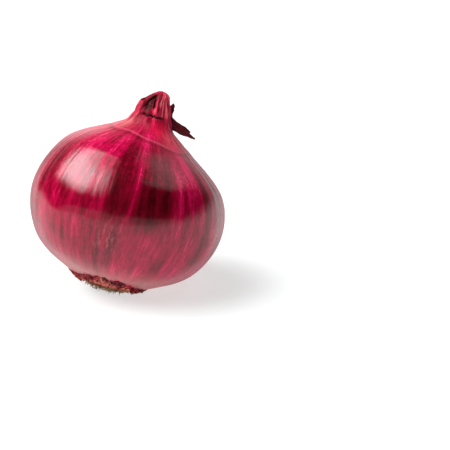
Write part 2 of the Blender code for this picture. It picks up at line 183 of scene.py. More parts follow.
# The key light, in metres. Azimuth 0 is towards the camera, and 90 towards +X.
KEY_AZIMUTH = math.radians(-84.0)
KEY_ELEVATION = math.radians(47.0)
KEY_ROLL = math.radians(8.0)
KEY_DISTANCE = 1.1
KEY_WIDTH = 1.05
KEY_HEIGHT = 0.66
KEY_RADIANCE = 1.9


class Wire:
    """An output of a node. Wires and numbers combine in plain expressions."""

    def __init__(self, net, socket):
        self.net = net
        self.socket = socket

    def __add__(self, other):
        return self.net.math("ADD", self, other)

    def __radd__(self, other):
        return self.net.math("ADD", other, self)

    def __sub__(self, other):
        return self.net.math("SUBTRACT", self, other)

    def __rsub__(self, other):
        return self.net.math("SUBTRACT", other, self)

    def __mul__(self, other):
        return self.net.math("MULTIPLY", self, other)

    def __rmul__(self, other):
        return self.net.math("MULTIPLY", other, self)

    def __truediv__(self, other):
        return self.net.math("DIVIDE", self, other)

    def __rtruediv__(self, other):
        return self.net.math("DIVIDE", other, self)

    def __pow__(self, other):
        return self.net.math("POWER", self, other)

    def __neg__(self):
        return self.net.math("MULTIPLY", self, -1.0)


class Net:
    """A node tree being wired."""

    def __init__(self, tree):
        self.tree = tree

    def node(self, kind, feeds=None, **settings):
        """Adds a node, sets it up, feeds its sockets, and returns its outputs by name."""
        node = self.tree.nodes.new(kind)
        for name, value in settings.items():
            if name == "stops":
                set_stops(node.color_ramp, value)
            else:
                setattr(node, name, value)
        for key, value in (feeds or {}).items():
            self.feed(node, key, value)
        return {socket.name: Wire(self, socket) for socket in node.outputs if socket.enabled}

    def feed(self, node, key, value):
        """Links or sets an input, given by its number or by its name."""
        if isinstance(key, int):
            socket = node.inputs[key]
        else:
            socket = next(found for found in node.inputs if found.enabled and found.name == key)
        if isinstance(value, Wire):
            self.tree.links.new(value.socket, socket)
        else:
            socket.default_value = value

    def math(self, operation, *values):
        return self.node("ShaderNodeMath", dict(enumerate(values)), operation=operation)["Value"]

    def clamped(self, value):
        return self.node("ShaderNodeMath", {0: value, 1: 0.0}, operation="ADD", use_clamp=True)["Value"]

    def cos(self, value):
        return self.math("COSINE", value)

    def sin(self, value):
        return self.math("SINE", value)

    def between(self, low, high, value):
        """0 at low and 1 at high, with a soft start and end."""
        feeds = {"Value": value, "From Min": low, "From Max": high}
        return self.node("ShaderNodeMapRange", feeds, interpolation_type="SMOOTHSTEP")["Result"]

    def inside(self, low, full, full_until, high, value):
        """0 below low and above high, and 1 between the two other levels."""
        return self.between(low, full, value) * (1.0 - self.between(full_until, high, value))

    def bell(self, distance, spread):
        return self.math("EXPONENT", -((distance / spread) ** 2))

    def turn_between(self, bearing, other):
        """The smallest turn from one bearing to another, in radians."""
        return self.math("WRAP", bearing - other, math.pi, -math.pi)

    def sector(self, bearing, middle, half_width):
        """A soft sector round the axis, with its middle and half width in degrees."""
        return self.bell(self.turn_between(bearing, math.radians(middle)), math.radians(half_width))

    def patches(self, table, bearing, height):
        """The sum of a table's patches: bearing, height, half width, half height and strength."""
        total = 0.0
        for middle, level, half_width, half_height, strength in table:
            across = self.sector(bearing, middle, half_width)
            total = strength * across * self.bell(height - level, half_height) + total
        return total

    def waves(self, terms, bearing):
        total = 0.0
        for count, size, phase in terms:
            total = size * self.cos(bearing * count + phase) + total
        return total

    def vector(self, x, y, z):
        return self.node("ShaderNodeCombineXYZ", {"X": x, "Y": y, "Z": z})["Vector"]

    def split(self, vector):
        parts = self.node("ShaderNodeSeparateXYZ", {"Vector": vector})
        return parts["X"], parts["Y"], parts["Z"]

    def vector_math(self, operation, *values):
        return self.node("ShaderNodeVectorMath", dict(enumerate(values)), operation=operation)["Vector"]

    def scaled(self, vector, size):
        return self.vector_math("MULTIPLY", vector, self.vector(size, size, size))

    def noise(self, place, scale, detail=2.0, roughness=0.5):
        feeds = {"Vector": place, "Scale": scale, "Detail": detail, "Roughness": roughness}
        return self.node("ShaderNodeTexNoise", feeds)["Fac"]

    def astray(self, place, scale, detail, size):
        """A vector that wanders from place to place, by up to half the size each way."""
        feeds = {"Vector": place, "Scale": scale, "Detail": detail}
        colour = self.node("ShaderNodeTexNoise", feeds)["Color"]
        drift = self.vector_math("SUBTRACT", colour, (0.5, 0.5, 0.5))
        return self.vector_math("MULTIPLY", drift, size)

    def stretched(self, spoke, around, rising):
        """The spoke's coordinates stretched: fine round the onion, slow along its height."""
        return self.vector_math("MULTIPLY", spoke, (around, around, rising))

    def grain(self, spoke, around, rising, detail=2.0, roughness=0.5):
        """Noise that follows the onion's height, from -0.5 to 0.5."""
        return self.noise(self.stretched(spoke, around, rising), 1.0, detail, roughness) - 0.5

    def mix(self, share, first, second):
        """Two colours mixed, by a share that the node keeps between 0 and 1."""
        feeds = {"Factor": share, "A": first, "B": second}
        return self.node("ShaderNodeMix", feeds, data_type="RGBA")["Result"]


def set_stops(ramp, stops):
    """Gives a colour ramp its stops: place, red, green and blue."""
    while len(ramp.elements) < len(stops):
        ramp.elements.new(0.5)
    for element, (place, *colour) in zip(ramp.elements, stops):
        element.position = place
        element.color = (*colour, 1.0)


class Shape(Net):
    """A Geometry Nodes tree with named inputs, which a modifier on a piece runs."""

    def __init__(self, name, inputs):
        super().__init__(bpy.data.node_groups.new(name, "GeometryNodeTree"))
        self.inputs = inputs
        self.identifiers = {}
        kinds = {int: "NodeSocketInt", float: "NodeSocketFloat", bpy.types.Object: "NodeSocketObject"}
        self.tree.interface.new_socket("Geometry", in_out="OUTPUT", socket_type="NodeSocketGeometry")
        for label, value in inputs.items():
            kind = kinds[type(value)]
            socket = self.tree.interface.new_socket(label, in_out="INPUT", socket_type=kind)
            self.identifiers[label] = socket.identifier
        self.given = self.node("NodeGroupInput")

    def position(self):
        return self.node("GeometryNodeInputPosition")["Position"]

    def grid(self, columns, rows):
        """A grid's mesh, and how far across and along it each point is, from 0 to 1."""
        sizes = {"Size X": 1.0, "Size Y": 1.0, "Vertices X": columns, "Vertices Y": rows}
        mesh = self.node("GeometryNodeMeshGrid", sizes)["Mesh"]
        across, along, _ = self.split(self.position())
        return mesh, across + 0.5, along + 0.5

    def through(self, kind, geometry, feeds=None, **settings):
        """What a node makes of a geometry."""
        return self.node(kind, {"Geometry": geometry, **(feeds or {})}, **settings)["Geometry"]

    def sampled(self, label, mode, feeds):
        """What a guide curve, given as an input, has at a share or a length of it."""
        curve = self.node("GeometryNodeObjectInfo", {"Object": self.given[label]})["Geometry"]
        return self.node("GeometryNodeSampleCurve", {"Curves": curve, **feeds}, mode=mode)

    def stored(self, geometry, name, value, kind="FLOAT"):
        feeds = {"Name": name, "Value": value}
        return self.through("GeometryNodeStoreNamedAttribute", geometry, feeds, data_type=kind)

    def attribute(self, name, kind="FLOAT"):
        return self.node("GeometryNodeInputNamedAttribute", {"Name": name}, data_type=kind)["Attribute"]

    def random(self, low, high, seed):
        kind = "FLOAT_VECTOR" if isinstance(low, tuple) else "FLOAT"
        feeds = {"Min": low, "Max": high, "Seed": seed}
        return self.node("FunctionNodeRandomValue", feeds, data_type=kind)["Value"]

    def placed(self, geometry, position):
        return self.through("GeometryNodeSetPosition", geometry, {"Position": position})

    def moved(self, geometry, offset):
        return self.through("GeometryNodeSetPosition", geometry, {"Offset": offset})

    def raised(self, geometry, relief):
        """Moves the points along their normals."""
        return self.moved(geometry, self.scaled(self.node("GeometryNodeInputNormal")["Normal"], relief))

    def closed(self, geometry):
        """Merges the points where a wrapped grid meets itself."""
        return self.through("GeometryNodeMergeByDistance", geometry, {"Distance": SEAM_DISTANCE})

    def shaded_points(self, count, position, seed):
        """Points at the positions, each with a shade of its own."""
        points = self.node("GeometryNodePoints", {"Count": count, "Position": position})["Points"]
        return self.stored(points, "shade", self.random(0.0, 1.0, seed))

    def scattered(self, points, thing, turn, scale):
        """A copy of the thing at each point."""
        feeds = {"Points": points, "Instance": thing, "Rotation": turn, "Scale": scale}
        copies = self.node("GeometryNodeInstanceOnPoints", feeds)["Instances"]
        return self.through("GeometryNodeRealizeInstances", copies)

    def ended(self, geometry, material):
        """Smooths, realizes and paints what the tree has made."""
        smooth = self.through("GeometryNodeSetShadeSmooth", geometry)
        real = self.through("GeometryNodeRealizeInstances", smooth)
        painted = self.through("GeometryNodeSetMaterial", real, {"Material": material})
        self.node("NodeGroupOutput", {"Geometry": painted})
        return self

    def made(self, name):
        """Runs the tree on a new object and returns it with the result as its plain mesh."""
        piece = added(name, bpy.data.meshes.new(name))
        run = piece.modifiers.new("shape", "NODES")
        run.node_group = self.tree
        for label, value in self.inputs.items():
            run[self.identifiers[label]] = value
        return baked(piece)


class Finish(Net):
    """A material being wired, round its Principled shader."""

    def __init__(self, name):
        self.material = bpy.data.materials.new(name)
        self.material.use_nodes = True
        super().__init__(self.material.node_tree)
        self.shader = self.tree.nodes["Principled BSDF"]

    def place(self):
        return self.node("ShaderNodeTexCoord")["Object"]

    def spoke(self):
        return self.node("ShaderNodeAttribute", attribute_name="spoke")["Vector"]

    def number(self, name):
        """What the piece's points carry under this name."""
        return self.node("ShaderNodeAttribute", attribute_name=name)["Fac"]

    def toned(self, stops, tone):
        return self.node("ShaderNodeValToRGB", {"Fac": self.clamped(tone)}, stops=stops)["Color"]

    def bump(self, strength, distance, height):
        feeds = {"Strength": strength, "Distance": distance, "Height": height}
        return self.node("ShaderNodeBump", feeds)["Normal"]

    def shaded(self, feeds):
        """Feeds the shader, and returns the material."""
        for name, value in feeds.items():
            self.feed(self.shader, name, value)
        return self.material

    def dry(self, stops, tone, roughness, gloss, bump):
        """A dry finish, coloured by a ramp."""
        colour = self.toned(stops, tone)
        feeds = {"Base Color": colour, "Roughness": roughness, "Specular IOR Level": gloss, "Normal": bump}
        return self.shaded(feeds)


def added(name, data):
    """A new object in the scene."""
    thing = bpy.data.objects.new(name, data)
    bpy.context.scene.collection.objects.link(thing)
    return thing


def baked(piece):
    """Gives the piece the plain mesh that its modifiers make, in their place."""
    graph = bpy.context.evaluated_depsgraph_get()
    mesh = bpy.data.meshes.new_from_object(piece.evaluated_get(graph), depsgraph=graph)
    piece.modifiers.clear()
    piece.data = mesh
    mesh.name = piece.name
    return piece


def smooth_through(knots):
    """A smooth path through the knots."""
    points = [Vector(knot) for knot in knots]
    slopes = []
    for index in range(len(points)):
        before = points[max(index - 1, 0)]
        after = points[min(index + 1, len(points) - 1)]
        distance = (points[index] - before).length + (after - points[index]).length
        slopes.append((after - before) / distance)
    path = [points[0]]
    for index in range(len(points) - 1):
        start, end = points[index], points[index + 1]
        span = (end - start).length
        for step in range(1, SPAN_STEPS + 1):
            t = step / SPAN_STEPS
            path.append(
                start * (2 * t**3 - 3 * t**2 + 1)
                + slopes[index] * span * (t**3 - 2 * t**2 + t)
                + end * (3 * t**2 - 2 * t**3)
                + slopes[index + 1] * span * (t**3 - t**2)
            )
    return path


def profile_path(profile):
    """A smooth path through a profile in mm, with its reach along +X."""
    return smooth_through([(reach * MM, 0.0, height * MM) for reach, height in profile])


def length_of(path):
    return sum((after - before).length for before, after in zip(path, path[1:]))


# The curves and patterns that shapes read, which are removed at the end
GUIDES = []


def guide_curve(name, path, widths=None):
    """A curve object along the path, for a shape to sample, with the widths as its radii."""
    curve = bpy.data.curves.new(name, "CURVE")
    curve.dimensions = "3D"
    spline = curve.splines.new("POLY")
    spline.points.add(len(path) - 1)
    for point, place, width in zip(spline.points, path, widths or [1.0] * len(path)):
        point.co = (*place, 1.0)
        point.radius = width
    guide = added(name, curve)
    GUIDES.append(guide)
    return guide


def lean_matrix():
    """From the upright onion to the onion as it lies, with its weight over the world origin."""
    tilt_axis = Vector((-math.sin(LEAN_TOWARDS), math.cos(LEAN_TOWARDS), 0.0))
    tilt = Matrix.Rotation(LEAN, 4, tilt_axis)
    weight = tilt @ Vector((0.0, 0.0, WEIGHT_HEIGHT))
    return Matrix.Translation((-weight.x, -weight.y, -ROOT_END_SINK)) @ tilt


def worn(piece, node):
    """Leans a finished piece, flattens it at the ground, and gives it its place in the frame."""
    piece.data.transform(lean_matrix())
    for vertex in piece.data.vertices:
        vertex.co.z = max(vertex.co.z, 0.0)
    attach(piece, "root")
    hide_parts(node)


def collar_edge(net, bearing):
    """The height of the collar's torn edge, which runs lower on the +X side."""
    towards_x = 0.5 + 0.5 * net.cos(bearing)
    level = COLLAR_EDGE_LEFT + (COLLAR_EDGE_RIGHT - COLLAR_EDGE_LEFT) * towards_x
    return level + net.waves(COLLAR_WAVES, bearing)


def fold_depth(net, bearing, height):
    """How far the neck's folds go in."""
    deepest = 0.0
    for foot_bearing, head_bearing, half_width, *sizes in FOLDS:
        depth, foot, head = (size * MM for size in sizes)
        share = net.between(foot, head, height)
        middle = math.radians(foot_bearing) + math.radians(head_bearing - foot_bearing) * share
        across = net.bell(net.turn_between(bearing, middle), math.radians(half_width))
        along = net.inside(foot, foot + FOLD_FOOT_FADE, head - FOLD_HEAD_FADE, head, height)
        deepest = net.math("MAXIMUM", deepest, depth * along * across)
    return deepest


def crack_share(net, bearing, height, half_width):
    """How far the crack across the neck's front goes in here, as a share of its depth."""
    round_about = net.vector(net.cos(bearing), net.sin(bearing), 0.0)
    wander = (net.noise(round_about, *CRACK_NOISE) - 0.5) * CRACK_WANDER
    start, end = (math.radians(edge) for edge in CRACK_BEARINGS)
    half = (end - start) / 2
    off_middle = net.math("ABSOLUTE", net.turn_between(bearing, start + half))
    outside = net.between((1.0 - CRACK_END_FADE) * half, (1.0 + CRACK_END_FADE) * half, off_middle)
    return (1.0 - outside) * net.bell(height - (CRACK_HEIGHT + wander), half_width)


def flake_parts(net, bearing, height):
    """How much of the flake's step is here, and how much painted shade lies along its torn edge."""
    above_edge = height - (FLAKE_TOP + net.waves(FLAKE_WAVES, bearing))
    off_middle = net.math("ABSOLUTE", net.turn_between(bearing, FLAKE_MIDDLE))
    inside = 1.0 - net.between(FLAKE_HALF - FLAKE_SOFTNESS, FLAKE_HALF, off_middle)
    below = 1.0 - net.between(*FLAKE_EDGE_FADE, above_edge)
    step = inside * below * net.between(NECK_FULL, NECK_FULL + FLAKE_FOOT_FADE, height)
    return step, inside * net.bell(above_edge - FLAKE_EDGE_FADE[1], FLAKE_SHADE_HALF_WIDTH)


def hem_way_at(net, bearing, outline):
    """How far along the outline the skin's torn hem is. The outline is straight enough there."""
    reach = HEM_REACH + net.waves(TORN_HEM, bearing)
    for middle, depth, half_width in HEM_BAYS:
        reach = reach + depth * net.sector(bearing, middle, half_width)
    (start, _), (first_knot, _) = SKIN_OUTLINE[:2]
    slope = (first_knot - start) * MM / (outline[SPAN_STEPS] - outline[0]).length
    return (reach - start * MM) / slope


def neck_shift(net, height):
    total = 0.0
    for low, high, shift in NECK_SHIFTS:
        total = shift * net.between(low, high, height) + total
    return total


# The skin's mesh
SKIN_INPUTS = {
    "Bearings": 520,
    "Rows": 186,
    "Lip Rows": 6.0,
    "Thickness": 0.35 * MM,
    "Hem Rags": 1.1 * MM,
    "Rib Height": 0.20 * MM,
    "Fine Rib Height": 0.13 * MM,
    "Lump Height": 0.5 * MM,
    "Wrinkle Height": 0.35 * MM,
}
LIP_DEPTH = 5.0 * MM
LIP_INSET = (-0.45, 0.9)
NECK_CROWDING = 1.5
SPOKE_UNIT = 10.0 * MM
SEAM_DISTANCE = 0.002 * MM

# Where the skin's relief is, in cm of height: from none to full, and from full to none
RIBBED_BODY = (0.9, 1.6, 6.6, 7.2)
WRINKLED_SHOULDER = (6.4, 7.2, 7.6, 8.2)
STRIPED_KNOB = (7.5, 7.9, 8.6, 8.8)

# Its noises: how fine round the onion, how fine along its height, detail and roughness
RIBS = (10.0, 0.16, 1.0)
FINE_RIBS = (28.0, 0.30)
LUMPS = (1.9, 0.6, 1.0)
WRINKLES = (9.0, 2.2, 3.0, 0.6)
KNOB_STRIPES = (26.0, 0.6)

# Swells and dents, in mm: bearing, height, half width, half height and rise
SWELLS = (
    (-134, 30.5, 9, 5.5, 0.4), (-158, 36, 5, 14, 0.22), (-112, 47, 4, 14, -0.12), (-30, 34, 9, 10, 0.35),
    (25, 44, 12, 9, -0.35), (70, 30, 8, 8, 0.35), (128, 46, 10, 12, -0.3),
)


def skin_shape(outline, outline_guide, material):
    """The bulb's skin: a grid of bearings and rows, wrapped round the outline."""
    outline_inputs = {"Outline": outline_guide, "Outline Length": length_of(outline)}
    shape = Shape("bulb_skin_shape", {**outline_inputs, **SKIN_INPUTS})
    given = shape.given
    grid, across, along = shape.grid(given["Bearings"], given["Rows"])
    bearing = across * math.tau
    row = along * (given["Rows"] - 1.0)
    east, north = shape.cos(bearing), shape.sin(bearing)

    # How far along the outline: up from the hem, and back under it for the lip
    rags = shape.noise(shape.vector(east, north, 0.0), *HEM_NOISE) - 0.5
    hem_way = hem_way_at(shape, bearing, outline) + rags * 2.0 * given["Hem Rags"]
    above = shape.clamped((row - given["Lip Rows"]) / (given["Rows"] - 1.0 - given["Lip Rows"]))
    rising = 1.0 - (1.0 - above) ** NECK_CROWDING
    beneath = shape.clamped(1.0 - row / given["Lip Rows"])
    way = hem_way + (given["Outline Length"] - hem_way) * rising + LIP_DEPTH * beneath
    reach, _, height = shape.split(shape.sampled("Outline", "LENGTH", {"Length": way})["Position"])

    # Where the bulb departs from a turned shape
    neck = shape.between(NECK_STARTS, NECK_FULL, height)
    fullness = shape.bell(height - FULL_SHOULDER_HEIGHT, FULL_SHOULDER_SPREAD)
    lobes = shape.waves(LOBES, bearing) * shape.bell(height - LOBE_HEIGHT, LOBE_SPREAD)
    from_collar = height - collar_edge(shape, bearing)
    collar = COLLAR_STEP * (1.0 - neck) * shape.between(-COLLAR_SOFTNESS, COLLAR_SOFTNESS, from_collar)
    twist = PLEAT_TWIST / (NECK_TIP_HEIGHT - NECK_STARTS)
    twisted = bearing + (height - NECK_STARTS) * twist
    turned = reach - FULL_SHOULDER * east * fullness + lobes + collar
    pleated = turned * (1.0 + neck * shape.waves(PLEATS, twisted))
    folds = fold_depth(shape, bearing, height)
    crack = crack_share(shape, bearing, height, CRACK_HALF_WIDTH) * CRACK_DEPTH
    flake, flake_edge = flake_parts(shape, bearing, height)
    pinched = shape.sector(bearing, PINCH_BEARING, PINCH_HALF_WIDTH)
    pinch = PINCH_DEPTH * pinched * shape.between(*PINCH_HEIGHTS, height)
    sunk = shape.math("MAXIMUM", folds, crack) + pinch
    out = shape.math("MAXIMUM", pleated - sunk, (1.0 - DEEPEST_SHARE) * reach) + flake * FLAKE_STEP

    # The lip runs back under the hem, and its first row closes on the axis
    inset = shape.between(0.0, 0.5, beneath) * given["Thickness"]
    out = (out + LIP_INSET[0] * inset) * shape.clamped(row)
    height_here = height + LIP_INSET[1] * inset
    place = shape.vector(out * east + neck_shift(shape, height), out * north, height_here)

    deepest_fold = max(fold[3] for fold in FOLDS) * MM
    wrapped = shape.stored(grid, "spoke", shape.vector(east, north, height / SPOKE_UNIT), "FLOAT_VECTOR")
    # The folds' depth, which the skin's material turns into painted shade
    wrapped = shape.stored(wrapped, "fold", folds / deepest_fold)
    wrapped = shape.stored(wrapped, "flake_edge", flake_edge)
    wrapped = shape.stored(wrapped, "from_collar", from_collar / MM)
    closed = shape.closed(shape.placed(wrapped, place))
    return shape.ended(shape.raised(closed, skin_relief(shape)), material)


def skin_relief(shape):
    """How far each point stands out: ribs along the skin, soft lumps, and wrinkles by the neck."""
    given = shape.given
    spoke = shape.attribute("spoke", "FLOAT_VECTOR")
    east, north, height_cm = shape.split(spoke)
    body = shape.inside(*RIBBED_BODY, height_cm)
    ribs = shape.grain(spoke, *RIBS) * given["Rib Height"]
    fine_ribs = shape.grain(spoke, *FINE_RIBS) * given["Fine Rib Height"]
    lumps = shape.grain(spoke, *LUMPS) * given["Lump Height"]
    shoulder = shape.inside(*WRINKLED_SHOULDER, height_cm)
    wrinkles = shape.grain(spoke, *WRINKLES) * given["Wrinkle Height"]
    knob = shape.inside(*STRIPED_KNOB, height_cm)
    stripes = shape.grain(spoke, *KNOB_STRIPES) * given["Wrinkle Height"]
    swells = shape.patches(SWELLS, shape.math("ARCTAN2", north, east), height_cm * 10.0) * MM
    return swells + body * (ribs + fine_ribs + lumps) + shoulder * wrinkles + knob * stripes


# The skin's pigment, from sparse to dense, as (place, red, green, blue)
SKIN_TONES = (
    (0, 0.018, 0.0006, 0.0015), (0.25, 0.06, 0.001, 0.0036), (0.5, 0.17, 0.0014, 0.012),
    (0.72, 0.36, 0.002, 0.036), (0.88, 0.57, 0.005, 0.07), (1, 0.8, 0.022, 0.135),
)
NECK_TONES = (
    (0, 0.02, 0.005, 0.003), (0.25, 0.075, 0.008, 0.008), (0.5, 0.24, 0.01, 0.026),
    (0.75, 0.62, 0.02, 0.075), (0.9, 0.88, 0.09, 0.135), (1, 0.95, 0.22, 0.25),
)

# The skin's markings: noises as in its relief, then plain ones
BROAD_STREAKS = (3.5, 0.45)
STREAKS = (13.0, 0.55, 3.0, 0.6)
FIBRES = (42.0, 1.5, 4.0, 0.7)
THREADS = (105.0, 3.6, 3.0, 0.7)
PATCHES = (7.0, 2.0, 4.0, 0.65)
SCRATCHES = (30.0, 2.4, 4.0, 0.75)
NECK_STRIPES = (24.0, 0.9, 4.0, 0.7)
MOTTLE = (620.0, 3.0, 0.65)
DRIED_MOTTLE = (300.0, 3.0, 0.6)
WANDER = (0.035, 0.035, 0.0)

# Where they change, from and to these heights in mm
ROOT_END_FADES = (8.0, 17.0)
SPECKLED_FROM = (48.0, 56.0)
# The painted rim sheen starts from these heights
RIM_SHEEN_FROM = (50.0, 66.0)
DRY_FROM = (63.5, 70.0)
KNOB_FROM = (75.5, 78.3)

# The colours of the skin's other parts
VIVID_CRIMSON = (0.92, 0.003, 0.060, 1.0)
SALMON = (0.82, 0.10, 0.14, 1.0)
DULL_SALMON = (0.50, 0.088, 0.100, 1.0)
FOOT_TAN = (0.45, 0.095, 0.080, 1.0)
PALE_EDGE = (0.66, 0.085, 0.14, 1.0)
# A painted sheen: pale pink laid where the upper skin is seen at grazing angles, for reflected light
PAINTED_RIM_SHEEN = (0.90, 0.36, 0.42, 1.0)
SCUFFED = (0.52, 0.10, 0.13, 1.0)
# Painted shade, laid just below the collar's torn edge and along the flake's torn edge
PAINTED_EDGE_SHADE = (0.075, 0.0015, 0.006, 1.0)
# Painted shade, laid in the neck's folds and in its crack
PAINTED_RECESS_SHADE = (0.030, 0.006, 0.005, 1.0)
SKIN_IOR = 1.47
DRY_GLOSS = 0.3
PAPERY_ROUGHNESS = 0.62
PAPERY_GLOSS = 0.07

# Dark and pale bands along the skin, in mm: bearing and height of each end, half width, and strength.
# Most are streaks in the pigment, and some are painted light and shade: the pale band at -130 high
# up is painted light on the lit shoulder, and the one at -45 is painted light on the right shoulder;
# the dark middle at -97.5 and -76 is partly darker pigment and partly painted shade; the wide band
# at -97 low down is a painted shadow; and the thin dark lines at -118.5, -108.5 and -106.2 are
# painted streaks in the lamp's reflection.
SKIN_BANDS_AND_PAINTED_LIGHT = (
    (-168, 62, -168, 18, 7, -0.28), (-155, 58, -155, 40, 7, -0.12), (-161, 56, -160, 42, 1.3, 0.2),
    (-158.5, 58, -157.5, 40, 0.9, -0.2), (-157, 56, -156, 44, 0.9, 0.2),
    (-154.5, 57, -153, 40, 1.3, -0.34), (-149.5, 57, -148, 46, 1.8, -0.3),
    (-145.5, 66, -145, 56, 1.8, 0.16), (-144.6, 53, -143.5, 36, 3.2, -0.15),
    (-137.5, 57, -136, 46, 0.9, -0.2), (-130, 67, -130, 57, 13, 0.16), (-128, 44, -128, 20, 20, -0.13),
    (-118.5, 57, -118, 42, 0.6, -0.2), (-112, 45, -116, 36, 6, -0.1), (-113.5, 68, -113.5, 57, 2.2, 0.14),
    (-108.5, 57, -108.3, 42, 0.6, -0.2), (-106.2, 57, -106, 42, 0.5, -0.16),
    (-97, 65, -97.5, 52, 6.5, -0.27), (-97.5, 52, -98, 36, 6.5, -0.37),
    (-133.5, 43, -134.5, 35, 4.5, 0.07), (-107.5, 57, -108, 44, 3.5, 0.08),
    (-135, 34, -135, 24, 9, -0.05), (-101.5, 64, -102, 34, 1.6, -0.14),
    (-91.8, 56, -92.6, 37, 2.8, -0.26), (-86.4, 70, -86.8, 53, 2.2, 0.16),
    (-86.9, 58, -88.8, 36.5, 0.9, 0.18), (-84, 71.5, -84, 66.5, 9, 0.26),
    (-143, 43.5, -136.5, 37, 0.8, 0.14), (-136.5, 43, -131.5, 37, 0.8, 0.14),
    (-132, 43.5, -132.5, 38, 0.9, -0.16), (-83, 56, -84, 36, 2, -0.18), (-76, 66, -77, 52, 8.5, -0.32),
    (-76, 52, -78, 34, 8.5, -0.48), (-66, 64, -67, 40, 4, -0.26), (-59, 62, -58, 30, 1.5, 0.16),
    (-54, 62, -54, 30, 2, -0.16), (-45, 70, -47, 54, 8, 0.34), (-120, 34, -120, 16, 1.2, 0.12),
    (-97, 36, -97, 16, 15, -0.12), (-128, 82, -128, 73.5, 30, -0.18), (-94, 80, -94, 72.5, 10, -0.1),
    (-103, 34, -103, 12, 1.6, -0.16), (-95, 32, -95, 14, 3, -0.14), (-91, 30, -91, 12, 0.8, 0.16),
    (-36, 66, -38, 22, 3, -0.26), (-22, 64, -20, 30, 3, -0.24), (-6, 66, -7, 24, 0.8, 0.3),
    (14, 66, 11, 20, 6, -0.28), (30, 66, 32, 26, 1.5, 0.2), (47, 65, 49, 25, 3.5, -0.28),
    (68, 60, 66, 18, 0.9, 0.26), (78, 62, 76, 28, 1.6, -0.22), (94, 66, 91, 22, 8, -0.3),
    (108, 66, 110, 30, 0.6, 0.32), (124, 64, 127, 30, 3, -0.3), (138, 60, 137, 24, 1.2, 0.2),
    (152, 66, 150, 20, 5, -0.24), (176, 62, 178, 34, 1.2, 0.22),
)
BAND_FADE = 5.0

# The same along the neck, where they fade out faster. Here too some are painted light and shade:
# the dark bands at -175 and -147 are painted shade along the flake's torn edge and the outline above
# it, those at -127 and -106 are painted shade in the hollow in front, and the pale one at -82 is a
# painted highlight.
NECK_BANDS_AND_PAINTED_LIGHT = (
    (-147, 86.6, -146, 83.2, 5, -0.22), (-175, 88, -175, 83.6, 17, -0.5),
    (-137.5, 83.5, -138, 76, 3.5, 0.22), (-128, 88, -128, 76.5, 26, -0.13),
    (-127, 86.5, -121, 78.6, 7, -0.3), (-106, 86.6, -108, 80.8, 12, -0.28),
    (-106, 81.5, -108, 76, 10, -0.24), (-94, 88, -94, 85, 12, -0.2), (-122, 83, -124, 79, 1.8, -0.12),
    (-101, 83, -102, 78.5, 1.8, 0.1), (-88, 82, -86, 78.4, 2.2, 0.1), (-82, 86.5, -82, 79, 3, 0.12),
    (-75, 87, -76, 79, 2.2, -0.22), (-68, 87.5, -69, 82, 6, 0.22), (-70, 81.5, -68, 78, 8, -0.12),
    (-61, 86.5, -61.5, 78.5, 1.3, -0.2), (-56, 87, -56, 77.8, 1.4, 0.34),
    (-50, 87, -49, 75.5, 1.6, -0.32), (-36, 88, -36, 78, 22, 0.2), (-34, 86, -34, 75, 1.4, -0.24),
    (-24, 86, -25, 77, 1.3, -0.2), (-14, 84.8, -13, 80.5, 6, -0.38), (12, 86.5, 14, 74, 4, -0.4),
    (28, 86, 30, 76, 2, 0.2), (44, 86, 47, 74, 2.5, -0.34), (84, 87, 80, 75, 5, -0.42),
    (101, 86, 99, 76, 2.2, 0.2), (116, 86, 119, 74, 2, -0.34), (146, 86.5, 149, 75, 4, -0.38),
    (166, 86, 168, 77, 2.2, 0.2), (-168, 86, -166, 76, 2, -0.24),
)
NECK_BAND_FADE = 1.0

# Patches of the skin, in mm: bearing, height, half width, half height and strength. First where it
# is scuffed, then, near the collar, where it is salmon, duller, and at its most vivid.
SCUFFS = (
    (-98, 27, 8, 7, 1), (-30, 40, 6, 5, 1), (60, 33, 9, 6, 1), (160, 45, 7, 8, 1),
)
SALMON_PATCHES = (
    (-97, 73.5, 9, 1.6, 0.2), (-36, 69.5, 22, 4, 0.85), (20, 69, 26, 4, 0.7), (75, 72, 18, 3, 0.6),
    (128, 70.5, 24, 4, 0.8),
)
DULL_PATCHES = (
    (-140, 72.8, 21, 3.4, 0.8), (-172, 70, 24, 4.5, 0.7),
)
VIVID_PATCHES = (
    (-61, 73.2, 23, 3.4, 1), (62, 72.5, 13, 2.6, 0.8), (155, 73, 16, 2.4, 0.8),
)
BAND_INPUTS = (
    "Bearing", "Height", "Top Bearing", "Top", "Foot Bearing", "Foot", "Half Width", "Strength", "Fade",
)


def band_group():
    """A group of nodes: how much one band lightens or darkens the skin, in mm and degrees."""
    tree = bpy.data.node_groups.new("band", "ShaderNodeTree")
    tree.interface.new_socket("Value", in_out="OUTPUT", socket_type="NodeSocketFloat")
    for label in BAND_INPUTS:
        tree.interface.new_socket(label, in_out="INPUT", socket_type="NodeSocketFloat")
    net = Net(tree)
    given = map(net.node("NodeGroupInput").get, BAND_INPUTS)
    bearing, height, top_bearing, top, foot_bearing, foot, half_width, strength, fade = given
    middle = foot_bearing + (top_bearing - foot_bearing) * (height - foot) / (top - foot)
    off_middle = net.math("WRAP", bearing - middle, 180.0, -180.0)
    along = net.inside(foot - fade, foot + fade, top - fade, top + fade, height)
    net.node("NodeGroupOutput", {"Value": strength * net.bell(off_middle, half_width) * along})
    return tree


def bands_of(net, group, bands, fade, degrees, height):
    """How much the bands lighten or darken the skin, here."""
    total = 0.0
    for band in bands:
        feeds = dict(zip(BAND_INPUTS, (degrees, height, *band, fade)))
        total = net.node("ShaderNodeGroup", feeds, node_tree=group)["Value"] + total
    return total


